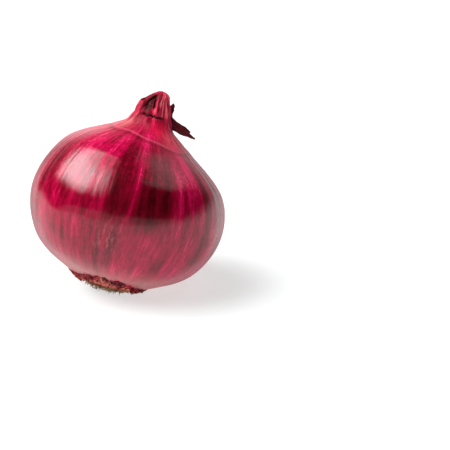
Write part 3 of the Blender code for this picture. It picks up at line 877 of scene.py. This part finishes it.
def crimson_skin():
    """The dry outer skin: crimson, streaked from neck to root, with a soft gloss, and with painted light
    and shade laid on it too.
    """
    net = Finish("crimson_skin")
    spoke = net.spoke()
    east, north, height_cm = net.split(spoke)
    height = height_cm * 10.0
    bearing = net.math("ARCTAN2", north, east)
    degrees = bearing * math.degrees(1.0)
    place = net.place()

    # Streaks that wander a little, and bands
    wander = net.astray(net.stretched(spoke, 1.6, 0.7), 1.0, 1.0, WANDER)
    strayed = net.vector_math("ADD", spoke, wander)
    broad = net.grain(strayed, *BROAD_STREAKS)
    streaks = net.grain(strayed, *STREAKS)
    fibres = net.grain(strayed, *FIBRES)
    threads = net.grain(strayed, *THREADS)
    mottle = net.noise(place, *MOTTLE) - 0.5
    speckled = 0.28 + 0.34 * net.between(*SPECKLED_FROM, height)
    tone = 0.73 + 0.32 * broad + 0.70 * streaks + 0.58 * fibres + 0.38 * threads + speckled * mottle
    band = band_group()
    uneven = 0.85 + 1.2 * fibres + 1.4 * threads
    # The bands streak the pigment, and some of them add painted light and shade
    tone = tone + uneven * bands_of(net, band, SKIN_BANDS_AND_PAINTED_LIGHT, BAND_FADE, degrees, height)

    # The neck has stripes of its own
    stripes = net.grain(spoke, *NECK_STRIPES)
    dried = net.noise(place, *DRIED_MOTTLE) - 0.5
    neck_tone = 0.74 + 0.70 * stripes + 0.45 * threads + 0.35 * dried
    # The neck's bands carry painted shade in its hollow and along the flake, and a painted highlight
    neck_tone = neck_tone + bands_of(net, band, NECK_BANDS_AND_PAINTED_LIGHT, NECK_BAND_FADE, degrees, height)
    knob = net.between(*KNOB_FROM, height + 2.0 * stripes)

    # The colours that lie over it, from the lowest layer up
    vivid = net.patches(VIVID_PATCHES, bearing, height) * (0.85 + 1.2 * streaks + 0.8 * fibres)
    patchy = 0.35 + net.between(-0.14, 0.10, net.grain(spoke, *PATCHES))
    root_end = (1.0 - net.between(*ROOT_END_FADES, height)) * (0.7 + patchy)
    from_collar = net.number("from_collar")
    grazing = net.node("ShaderNodeLayerWeight", {"Blend": 0.5})["Facing"]
    # Painted sheen: the upper skin is paled where it is seen edge-on
    rim_sheen = net.between(0.55, 0.85, grazing) * net.between(*RIM_SHEEN_FROM, height)
    scratches = net.between(0.0, 0.08, net.grain(spoke, *SCRATCHES))
    scuffed = net.clamped(net.patches(SCUFFS, bearing, height) * scratches)
    layers = (
        (vivid, VIVID_CRIMSON),
        (patchy * net.patches(SALMON_PATCHES, bearing, height), SALMON),
        (patchy * net.patches(DULL_PATCHES, bearing, height), DULL_SALMON),
        (0.34 * root_end, FOOT_TAN),
        (0.60 * net.bell(from_collar - 0.3, 0.26), PALE_EDGE),
        # A painted shadow just below the collar's edge, which stands proud
        (0.45 * net.bell(from_collar + 0.7, 0.55), PAINTED_EDGE_SHADE),
        # The painted rim sheen
        (0.36 * rim_sheen, PAINTED_RIM_SHEEN),
        (0.50 * scuffed, SCUFFED),
        (knob, net.toned(NECK_TONES, neck_tone)),
        # Painted shade along the flake's torn edge
        (0.85 * net.number("flake_edge"), PAINTED_EDGE_SHADE),
        # Painted shade in the neck's folds, darkest where they go in furthest
        (net.number("fold") * (1.15 + 1.2 * threads), PAINTED_RECESS_SHADE),
        # Painted shade inside the crack
        (1.6 * crack_share(net, bearing, height * MM, CRACK_SHADE_HALF_WIDTH), PAINTED_RECESS_SHADE),
    )
    colour = net.toned(SKIN_TONES, tone)
    for share, tint in layers:
        colour = net.mix(share, colour, tint)

    dusty = net.between(0.55, 0.9, grazing)
    rough = 0.10 + 0.14 * fibres + 0.10 * streaks + 0.25 * scuffed + 0.32 * dusty
    relief = streaks * 0.5 + fibres * 0.85 + threads * 0.25 + mottle * 0.06 + scuffed * 0.3
    bump = net.bump(0.75, 0.12 * MM, relief)
    net.shaded({"Base Color": colour, "Roughness": net.clamped(rough), "IOR": SKIN_IOR, "Normal": bump})

    # From the collar up the skin is dry as paper, and has hardly any gloss
    papery = {
        "Base Color": colour,
        "Roughness": PAPERY_ROUGHNESS,
        "Specular IOR Level": PAPERY_GLOSS,
        "Normal": bump,
    }
    glossy = Wire(net, net.shader.outputs["BSDF"])
    dry = 0.95 * net.between(*DRY_FROM, height + 3.0 * stripes)
    shaders = {0: dry, 1: glossy, 2: net.node("ShaderNodeBsdfPrincipled", papery)["BSDF"]}
    both = net.node("ShaderNodeMixShader", shaders)["Shader"]
    net.feed(net.tree.nodes["Material Output"], "Surface", both)
    return net.material


def bulb_skin(outline, outline_guide):
    piece = skin_shape(outline, outline_guide, crimson_skin()).made("bulb_skin")
    worn(piece, "bulb")


# The scale bared inside the hem, and the plate in its seat, as profiles of (reach, height) in mm
BARED_PROFILE = (
    (0, 5.4), (6, 5.4), (10.7, 5.2), (10.9, 3.3), (11.6, 3.2), (15, 5.1), (20, 7.9), (25, 10.9), (27, 14),
    (20, 20), (0, 22),
)
BARED_INPUTS = {"Rows": 70, "Bearings": 300, "Relief Height": 0.9 * MM}
PLATE_PROFILE = (
    (0, 1.1), (3.2, 1.1), (6.3, 1.3), (9, 1.9), (10.2, 2.6), (10.4, 4.9), (6, 5.1), (0, 5.1),
)
PLATE_INPUTS = {"Rows": 40, "Bearings": 120, "Relief Height": 0.7 * MM}


def turned_shape(name, profile, inputs, around, rising, material):
    """A closed turned piece with relief: a grid wrapped round a profile."""
    guide = guide_curve(f"{name}_guide", profile_path(profile))
    shape = Shape(name, {"Profile": guide, **inputs})
    given = shape.given
    grid, across, along = shape.grid(given["Bearings"], given["Rows"])
    bearing = across * math.tau
    east, north = shape.cos(bearing), shape.sin(bearing)
    reach, _, height = shape.split(shape.sampled("Profile", "FACTOR", {"Factor": along})["Position"])
    wrapped = shape.stored(grid, "spoke", shape.vector(east, north, height / SPOKE_UNIT), "FLOAT_VECTOR")
    wrapped = shape.stored(wrapped, "reach", reach / MM)
    closed = shape.closed(shape.placed(wrapped, shape.vector(reach * east, reach * north, height)))
    relief = shape.grain(shape.attribute("spoke", "FLOAT_VECTOR"), around, rising, 4.0, 0.65)
    away = shape.between(0.5, 4.0, shape.attribute("reach"))
    return shape.ended(shape.raised(closed, relief * away * given["Relief Height"]), material)


BARED_TONES = (
    (0, 0.035, 0.008, 0.006), (0.38, 0.16, 0.012, 0.016), (0.55, 0.5, 0.06, 0.06),
    (0.75, 0.68, 0.16, 0.12), (1, 0.74, 0.46, 0.3),
)


def bared_flesh():
    """Dried coral and tan layers, with painted shade in the gaps between them, and darker further out
    under the hem as painted shade.
    """
    net = Finish("bared_scale")
    layers = net.grain(net.spoke(), 6.0, 9.0, 4.0, 0.7)
    fibres = net.grain(net.spoke(), 34.0, 3.0, 3.0, 0.7)
    # Dark gaps between the layers, and darker with reach towards the hem: painted shade
    tone = 0.5 + 1.3 * layers + 1.1 * fibres - 0.03 * (net.number("reach") - 15.0)
    bump = net.bump(0.7, 0.3 * MM, layers + fibres)
    return net.dry(BARED_TONES, tone, 0.625 + 0.25 * fibres, DRY_GLOSS, bump)


def bared_scale():
    """The scale that shows inside the hem."""
    shape = turned_shape("bared_scale_shape", BARED_PROFILE, BARED_INPUTS, 16.0, 5.0, bared_flesh())
    worn(shape.made("bared_scale"), "bulb")


ROOT_TONES = (
    (0, 0.03, 0.016, 0.006), (0.3, 0.16, 0.088, 0.036), (0.6, 0.47, 0.26, 0.12), (1, 0.8, 0.56, 0.33),
)
ROOT_GLOSS = 0.5


def dried_roots():
    """Dry, fibrous and tan, with a random darker mottle."""
    net = Finish("dried_roots")
    mottle = net.noise(net.place(), 900.0, 4.0, 0.7)
    patches = net.noise(net.place(), 260.0)
    tone = 0.30 + 0.45 * net.number("shade") + 0.7 * (mottle - 0.5) + 0.5 * (patches - 0.5)
    return net.dry(ROOT_TONES, tone, 0.7 + 0.25 * mottle, ROOT_GLOSS, net.bump(0.6, 0.15 * MM, mottle))


STRAND_INPUTS = {
    "Strands": 900,
    "Points Each": 7,
    "Sides": 5,
    "Patch Radius": 10.6 * MM,
    "Shortest": 1.5 * MM,
    "Longest": 3.4 * MM,
    "Thinnest": 0.10 * MM,
    "Stoutest": 0.23 * MM,
    "Wiggle": 3.4 * MM,
    "Seed": 8,
}
STRAND_CROWDING = 0.47
STRAND_FOOT = 3.1 * MM
PLATE_HOLLOW = 1.5 * MM
STRAND_STRAY = ((-1.2, -1.2, -0.3), (1.2, 1.2, 0.35))
STRAND_BEARING_STRAY = (-0.2, 0.2)
STRAND_TAPER = 0.55
STRAND_WIGGLES = 420.0
GOLDEN_TURN = math.pi * (3.0 - math.sqrt(5.0))


def root_strands_shape(material):
    """Dried roots: wiry strands that leave the plate in a spiral order and splay outwards."""
    shape = Shape("root_strands_shape", STRAND_INPUTS)
    given = shape.given
    seed = given["Seed"]
    index = shape.node("GeometryNodeInputIndex")["Index"]
    spread = ((index + 0.5) / given["Strands"]) ** STRAND_CROWDING
    bearing = index * GOLDEN_TURN + shape.random(*STRAND_BEARING_STRAY, seed)
    east, north = shape.cos(bearing), shape.sin(bearing)
    reach = spread * given["Patch Radius"]
    foot = shape.vector(reach * east, reach * north, STRAND_FOOT - PLATE_HOLLOW * (1.0 - spread**2))
    points = shape.shaded_points(given["Strands"], foot, seed + 2.0)
    stoutness = shape.random(given["Thinnest"], given["Stoutest"], seed + 1.0)
    points = shape.stored(points, "stoutness", stoutness)

    # Where each strand points, and how long it is
    outwards = 0.15 + 1.1 * spread**2
    way = shape.vector(outwards * east, outwards * north, 0.45 * spread - 0.75)
    astray = shape.random(*STRAND_STRAY, seed + 3.0)
    way = shape.vector_math("NORMALIZE", shape.vector_math("ADD", way, astray))
    turn = shape.node("FunctionNodeAlignRotationToVector", {"Vector": way}, axis="Z")["Rotation"]
    length = shape.random(given["Shortest"], given["Longest"], seed + 4.0) * (1.05 - 0.25 * spread)
    ends = {"Start": (0.0, 0.0, 0.0), "End": (0.0, 0.0, 1.0)}
    line = shape.node("GeometryNodeCurvePrimitiveLine", ends)["Curve"]
    line = shape.node("GeometryNodeResampleCurve", {"Curve": line, "Count": given["Points Each"]})["Curve"]
    strands = shape.scattered(points, line, turn, shape.vector(length, length, length))

    # The strands wiggle more towards their tips, and taper
    along = shape.node("GeometryNodeSplineParameter")["Factor"]
    sway = along * given["Wiggle"]
    drift = shape.astray(shape.position(), STRAND_WIGGLES, 1.0, shape.vector(sway, sway, sway))
    strands = shape.moved(strands, drift)
    radius = shape.attribute("stoutness") * (1.0 - STRAND_TAPER * along)
    ring = shape.node("GeometryNodeCurvePrimitiveCircle", {"Resolution": given["Sides"], "Radius": 1.0})
    feeds = {"Curve": strands, "Profile Curve": ring["Curve"], "Scale": radius, "Fill Caps": True}
    return shape.ended(shape.node("GeometryNodeCurveToMesh", feeds)["Mesh"], material)


def root_plate():
    material = dried_roots()
    plate = turned_shape("root_disc_shape", PLATE_PROFILE, PLATE_INPUTS, 7.0, 8.0, material)
    worn(plate.made("root_disc"), "root_plate")
    worn(root_strands_shape(material).made("root_strands"), "root_plate")


# The rags of dry skin round the hem, in layers. Depth is how far inside the skin they start, and
# Lift and Stray are how far they lean out of the surface and sideways.
RAG_LAYERS = {
    "crimson_rags": {
        "Rags": 140,
        "Depth": 0.1 * MM,
        "Shortest": 1.6 * MM,
        "Longest": 3.6 * MM,
        "Narrowest": 0.8 * MM,
        "Widest": 2.4 * MM,
        "Lift": 0.05,
        "Stray": 1.3,
        "Seed": 3,
    },
    "coral_rags": {
        "Rags": 210,
        "Depth": 0.6 * MM,
        "Shortest": 2.2 * MM,
        "Longest": 5.4 * MM,
        "Narrowest": 0.7 * MM,
        "Widest": 2.0 * MM,
        "Lift": 0.40,
        "Stray": 0.9,
        "Seed": 5,
    },
}
RAG_ROWS = 6
RAG_SIDES = (-1.0, -0.35, 0.3, 1.0)
RAG_CURL = 0.22
RAG_CUP = 0.12
RAG_THICKNESS = 0.05
RAG_WANDER = 1.2 * MM
RAG_WANDERS = 700.0
RAG_STARTS = (0.3 * MM, 2.2 * MM)
RAG_BEARING_STRAY = (-0.4, 0.4)
RAG_TILT = (-0.25, 0.35)


def rag_pattern():
    """One torn rag, a unit long along +Z and a unit wide along +Y, curling towards +X."""
    outer, inner = [], []
    for row in range(RAG_ROWS + 1):
        share = row / RAG_ROWS
        half = 0.5 * (1.0 - share**1.6) * (1.0 + 0.25 * math.sin(11.0 * share)) + 0.03
        for side in RAG_SIDES:
            bend = RAG_CURL * share**2 + RAG_CUP * side * side
            jag = 0.10 * math.sin(5.0 * side + 9.0 * share) * share
            outer.append((bend, side * half, share + jag))
            inner.append((bend - RAG_THICKNESS, side * half, share + jag))
    count = len(RAG_SIDES)
    back = len(outer)
    faces = []
    for row in range(RAG_ROWS):
        for side in range(count - 1):
            a = row * count + side
            faces.append((a, a + 1, a + count + 1, a + count))
            faces.append((back + a, back + a + count, back + a + count + 1, back + a + 1))
    rim = list(range(count))
    rim += [row * count + count - 1 for row in range(1, RAG_ROWS + 1)]
    rim += [RAG_ROWS * count + side for side in range(count - 2, -1, -1)]
    rim += [row * count for row in range(RAG_ROWS - 1, 0, -1)]
    for here, after in zip(rim, rim[1:] + rim[:1]):
        faces.append((after, here, back + here, back + after))
    mesh = bpy.data.meshes.new("rag_pattern")
    mesh.from_pydata(outer + inner, [], faces)
    pattern = added("rag_pattern", mesh)
    GUIDES.append(pattern)
    return pattern


def rags_shape(name, inputs, outline, material):
    """Rags of torn skin round the hem, which point in towards the roots."""
    shape = Shape(f"{name}_shape", inputs)
    given = shape.given
    seed = given["Seed"]
    index = shape.node("GeometryNodeInputIndex")["Index"]
    bearing = (index + shape.random(*RAG_BEARING_STRAY, seed)) / given["Rags"] * math.tau
    east, north = shape.cos(bearing), shape.sin(bearing)
    way = hem_way_at(shape, bearing, outline) + shape.random(*RAG_STARTS, seed + 1.0)
    reach, _, height = shape.split(shape.sampled("Outline", "LENGTH", {"Length": way})["Position"])
    reach = reach + LIP_INSET[0] * given["Depth"]
    height = height + LIP_INSET[1] * given["Depth"]
    foot = shape.vector(reach * east, reach * north, height)
    points = shape.shaded_points(given["Rags"], foot, seed + 2.0)

    # Where each rag points, which way its outer side faces, and how large it is
    astray = shape.random(-given["Stray"], given["Stray"], seed + 3.0)
    inwards = shape.vector(astray * north - 0.88 * east, -0.88 * north - astray * east, -0.48)
    out = given["Lift"] + shape.random(*RAG_TILT, seed + 4.0)
    face = shape.vector((0.45 + out) * east, (0.45 + out) * north, -0.9)
    axes = {"Primary Axis": inwards, "Secondary Axis": face}
    turn = shape.node("FunctionNodeAxesToRotation", axes, primary_axis="Z", secondary_axis="X")["Rotation"]
    length = shape.random(given["Shortest"], given["Longest"], seed + 5.0)
    width = shape.random(given["Narrowest"], given["Widest"], seed + 6.0)
    rag = shape.node("GeometryNodeObjectInfo", {"Object": given["Rag"]})["Geometry"]
    rags = shape.scattered(points, rag, turn, shape.vector(length, width, length))
    drift = shape.astray(shape.position(), RAG_WANDERS, 2.0, (RAG_WANDER, RAG_WANDER, RAG_WANDER))
    return shape.ended(shape.moved(rags, drift), material)


RAG_TONES = {
    "crimson_rags": (
        (0, 0.03, 0.001, 0.003), (0.5, 0.2, 0.002, 0.012), (0.85, 0.46, 0.007, 0.036),
        (1, 0.6, 0.05, 0.07),
    ),
    "coral_rags": (
        (0, 0.07, 0.006, 0.006), (0.3, 0.42, 0.022, 0.034), (0.6, 0.74, 0.13, 0.1), (1, 0.82, 0.44, 0.24),
    ),
}


def rag_skin(name):
    """Torn dry skin: each rag has its own shade, mottled along its fibres."""
    net = Finish(name)
    mottle = net.noise(net.place(), 650.0, 4.0, 0.7)
    tone = 0.75 * net.number("shade") + 1.1 * (mottle - 0.5) + 0.12
    return net.dry(RAG_TONES[name], tone, 0.5 + 0.3 * mottle, DRY_GLOSS, net.bump(0.5, 0.1 * MM, mottle))


def hem_rags(outline, outline_guide):
    guides = {"Outline": outline_guide, "Rag": rag_pattern()}
    for name, sizes in RAG_LAYERS.items():
        rags = rags_shape(name, {**guides, **sizes}, outline, rag_skin(name))
        worn(rags.made(name), "bulb")


# The strips of dry skin at the neck, in mm and degrees: how far each is turned about its path, and
# the path as (bearing, reach, height, width)
NECK_STRIPS = {
    "neck_flap": (
        25,
        (
            (-9, 6.6, 82.4, 1.4), (-5, 7.2, 79.2, 2.6), (-3, 8.7, 76.9, 4), (-2, 11.3, 75.3, 4.2),
            (-1, 14.2, 74.1, 3.4), (1, 17.2, 73.1, 2), (2, 20.4, 72.1, 0.4),
        ),
    ),
    "neck_flap_upper": (
        38,
        (
            (-1, 7.2, 78.4, 1.6), (-1, 9.2, 77, 2.6), (0, 12, 75.9, 3.2), (1, 14.8, 75.1, 3),
            (1, 16.6, 74.5, 2), (1, 17.8, 74.3, 0.5),
        ),
    ),
    "neck_splinter": (
        0,
        (
            (-5, 7.6, 74.6, 1.2), (-4, 8, 76, 2), (-1, 7.4, 78.2, 2.6), (2, 7.2, 80.2, 2.9),
            (4, 7.6, 82, 2.5), (5, 7.9, 83.4, 1.5), (5, 7.9, 84.4, 0.3),
        ),
    ),
    "neck_wisp": (
        60,
        (
            (-24, 7.2, 78, 0.8), (-19, 7.9, 76.4, 1.3), (-14, 9, 74.9, 1.2), (-9, 10.6, 73.4, 0.4),
        ),
    ),
}
STRIP_INPUTS = {"Rows": 60, "Columns": 16, "Cup": 0.16, "Rags": 1.1 * MM, "Crease": 1.3 * MM}
STRIP_THICKNESS = 0.32 * MM


def strip_guide(name, knots):
    """A strip's path and widths as a curve."""
    path = []
    for degrees, reach, height, _ in knots:
        bearing = math.radians(degrees)
        path.append((reach * MM * math.cos(bearing), reach * MM * math.sin(bearing), height * MM))
    widths = smooth_through([(width * MM, 0.0) for _, _, _, width in knots])
    return guide_curve(f"{name}_guide", smooth_through(path), [width.x for width in widths])


def strip_shape(name, turn, knots, material):
    """A torn strip of skin along a path: a grid as wide as the path says, cupped and ragged."""
    path_inputs = {"Path": strip_guide(name, knots), "Turn": math.radians(turn)}
    shape = Shape(f"{name}_shape", {**path_inputs, **STRIP_INPUTS})
    given = shape.given
    grid, share, across = shape.grid(given["Rows"], given["Columns"])
    side = (across - 0.5) * 2.0
    radius = shape.node("GeometryNodeInputRadius")["Radius"]
    here = shape.sampled("Path", "FACTOR", {"Factor": share, "Value": radius})
    tangent = here["Tangent"]
    level = shape.vector_math("NORMALIZE", shape.vector_math("CROSS_PRODUCT", tangent, (0.0, 1.0, 0.0)))
    rotate = {"Vector": level, "Center": (0.0, 0.0, 0.0), "Axis": tangent, "Angle": given["Turn"]}
    level = shape.node("ShaderNodeVectorRotate", rotate)["Vector"]
    flat = shape.vector_math("CROSS_PRODUCT", tangent, level)

    # How far each point is off the path: to its side, and up from the flat strip
    ragged = shape.noise(shape.vector(share * 9.0, side * 0.8, 3.0), 1.0, 3.0, 0.7) - 0.5
    off = side * (here["Value"] * 0.5 + ragged * given["Rags"])
    creased = shape.noise(shape.vector(share * 2.5, side * 3.0, 8.0), 1.0) - 0.5
    lift = here["Value"] * given["Cup"] * (side * side - 0.4) + creased * given["Crease"]
    place = shape.vector_math("ADD", here["Position"], shape.scaled(level, off))
    place = shape.vector_math("ADD", place, shape.scaled(flat, lift))
    strip = shape.stored(grid, "shade", share)
    strip = shape.stored(strip, "spoke", shape.vector(share * 3.0, side * 0.5, 0.0), "FLOAT_VECTOR")
    return shape.ended(shape.placed(strip, place), material)


FLAP_TONES = (
    (0, 0.014, 0.0015, 0.002), (0.45, 0.075, 0.004, 0.009), (0.8, 0.2, 0.01, 0.022),
    (1, 0.4, 0.04, 0.055),
)


def flap_skin():
    """The neck's torn strips: dark maroon, dry and fibrous along their length."""
    net = Finish("flap_skin")
    fibres = net.noise(net.vector_math("MULTIPLY", net.spoke(), (0.7, 11.0, 1.0)), 1.6, 4.0, 0.7)
    mottle = net.noise(net.place(), 500.0, 3.0)
    tone = 0.46 + 0.22 * net.number("shade") + 2.2 * (fibres - 0.5) + 0.9 * (mottle - 0.5)
    return net.dry(FLAP_TONES, tone, 0.42 + 0.3 * mottle, DRY_GLOSS, net.bump(0.6, 0.15 * MM, fibres))


def neck_strips():
    material = flap_skin()
    for name, (turn, knots) in NECK_STRIPS.items():
        piece = strip_shape(name, turn, knots, material).made(name)
        wall = piece.modifiers.new("wall", "SOLIDIFY")
        wall.thickness = STRIP_THICKNESS
        wall.offset = 0.0
        worn(baked(piece), "bulb")


def key_light():
    """A rectangular soft light that faces the onion from above at -X."""
    light = bpy.data.lights.new("key_light", "AREA")
    light.shape = "RECTANGLE"
    light.size = KEY_WIDTH
    light.size_y = KEY_HEIGHT
    light.energy = KEY_RADIANCE * math.pi * KEY_WIDTH * KEY_HEIGHT
    lamp = added("key_light", light)
    across = math.cos(KEY_ELEVATION)
    outward = (math.sin(KEY_AZIMUTH) * across, -math.cos(KEY_AZIMUTH) * across, math.sin(KEY_ELEVATION))
    outward = Vector(outward)
    lamp.location = outward * KEY_DISTANCE + Vector((0.0, 0.0, ONION_CENTRE_HEIGHT))
    turn = Quaternion(outward, KEY_ROLL) @ outward.to_track_quat("Z", "Y")
    lamp.rotation_euler = turn.to_euler()
    lamp.visible_camera = False


def floor():
    """A plain white floor, faintly lit through. It ends in front, where the studio is dark."""
    corners = ((-1.0, -FLOOR_FRONT), (1.0, -FLOOR_FRONT), (1.0, FLOOR_SIDE), (-1.0, FLOOR_SIDE))
    mesh = bpy.data.meshes.new("floor")
    mesh.from_pydata([(x * FLOOR_SIDE, y, 0.0) for x, y in corners], [], [(0, 1, 2, 3)])
    mesh.materials.append(Finish("floor_white").shaded(FLOOR_FINISH))
    piece = added("floor", mesh)


def glowing(net, azimuth, elevation, sides, levels, slants):
    """A soft-edged patch of light. Its +X side is upright, and its other two lower sides slant."""
    near, full_near, full_far, far = map(math.radians, sides)
    foot, full_foot, full_head, head = map(math.radians, levels)
    side_slant, foot_slant = slants
    across = net.between(near, full_near, azimuth + side_slant * elevation)
    across = across * (1.0 - net.between(full_far, far, azimuth))
    along = net.between(foot, full_foot, elevation + foot_slant * azimuth)
    return across * along * (1.0 - net.between(full_head, head, elevation))


def surroundings():
    """What lights the onion and shows in its gloss: a big soft lamp at -X, pale walls, a dark front."""
    world = bpy.data.worlds.new("studio")
    bpy.context.scene.world = world
    world.use_nodes = True
    world.node_tree.nodes.clear()
    net = Net(world.node_tree)
    side, back, up = net.split(net.node("ShaderNodeTexCoord")["Generated"])
    azimuth = net.math("ARCTAN2", side, -back)
    elevation = net.math("ARCSINE", up)

    on_right = net.between(*WALL_CHANGE, side)
    dimmed = 1.0 - RIGHT_WALL_DIMMED * net.between(*RIGHT_WALL_DIMMING, side)
    right_wall = on_right * dimmed * net.between(*RIGHT_WALL, back)
    left_wall = 0.0
    for level, dark, full in LEFT_WALL_STEPS:
        left_wall = level * net.between(dark, full, back) + left_wall
    walls = (right_wall + (1.0 - on_right) * left_wall) * (1.0 - net.between(*WALL_TOP, up))

    rising = net.between(*map(math.radians, LOW_STRIP_RISES), azimuth)
    falling = net.between(*map(math.radians, LOW_STRIP_FALLS), azimuth)
    top = LOW_STRIP_TOP * rising * (1.0 - LOW_STRIP_FALL * falling)
    beneath = 1.0 - net.between(top - LOW_STRIP_SOFTNESS, top + LOW_STRIP_SOFTNESS, up)
    low_strip = beneath * (1.0 - net.clamped(walls))
    lamp = glowing(net, azimuth, elevation, LAMP_SIDES, LAMP_LEVELS, LAMP_SLANTS)
    glow = glowing(net, azimuth, elevation, GLOW_SIDES, GLOW_LEVELS, GLOW_SLANTS)
    level = DARK_FRONT + walls * WALL_LEVEL + low_strip * LOW_STRIP_LEVEL
    level = level + lamp * LAMP_LEVEL + glow * GLOW_LEVEL

    # The camera itself sees plain white
    seen = net.node("ShaderNodeLightPath")["Is Camera Ray"]
    colour = net.mix(seen, net.vector(level, level, level), (1.0, 1.0, 1.0, 1.0))
    background = net.node("ShaderNodeBackground", {"Color": colour})["Background"]
    net.node("ShaderNodeOutputWorld", {"Surface": background})


def camera():
    """Looks along +Y from above, with the onion in the left half of the frame."""
    right = Vector((1.0, 0.0, 0.0))
    up = Vector((0.0, math.sin(CAMERA_ELEVATION), math.cos(CAMERA_ELEVATION)))
    back = Vector((0.0, -math.cos(CAMERA_ELEVATION), math.sin(CAMERA_ELEVATION)))
    centre = lean_matrix() @ Vector((0.0, 0.0, ONION_CENTRE_HEIGHT))
    target = centre + right * CENTRE_RIGHT_OF_ONION - up * CENTRE_BELOW_ONION
    lens = bpy.data.cameras.new("camera")
    lens.sensor_width = SENSOR_WIDTH
    lens.lens = SENSOR_WIDTH * CAMERA_DISTANCE / FRAME_WIDTH
    lens.clip_end = FAR_CLIP
    eye = added("camera", lens)
    eye.location = target + back * CAMERA_DISTANCE
    eye.rotation_euler = (-back).to_track_quat("-Z", "Y").to_euler()
    bpy.context.scene.camera = eye


def main():
    bpy.context.scene.view_settings.view_transform = "Standard"
    camera()
    floor()
    surroundings()
    key_light()
    outline = profile_path(SKIN_OUTLINE)
    outline_guide = guide_curve("outline_guide", outline)
    bulb_skin(outline, outline_guide)
    bared_scale()
    hem_rags(outline, outline_guide)
    neck_strips()
    root_plate()
    for guide in GUIDES:
        bpy.data.objects.remove(guide)


main()
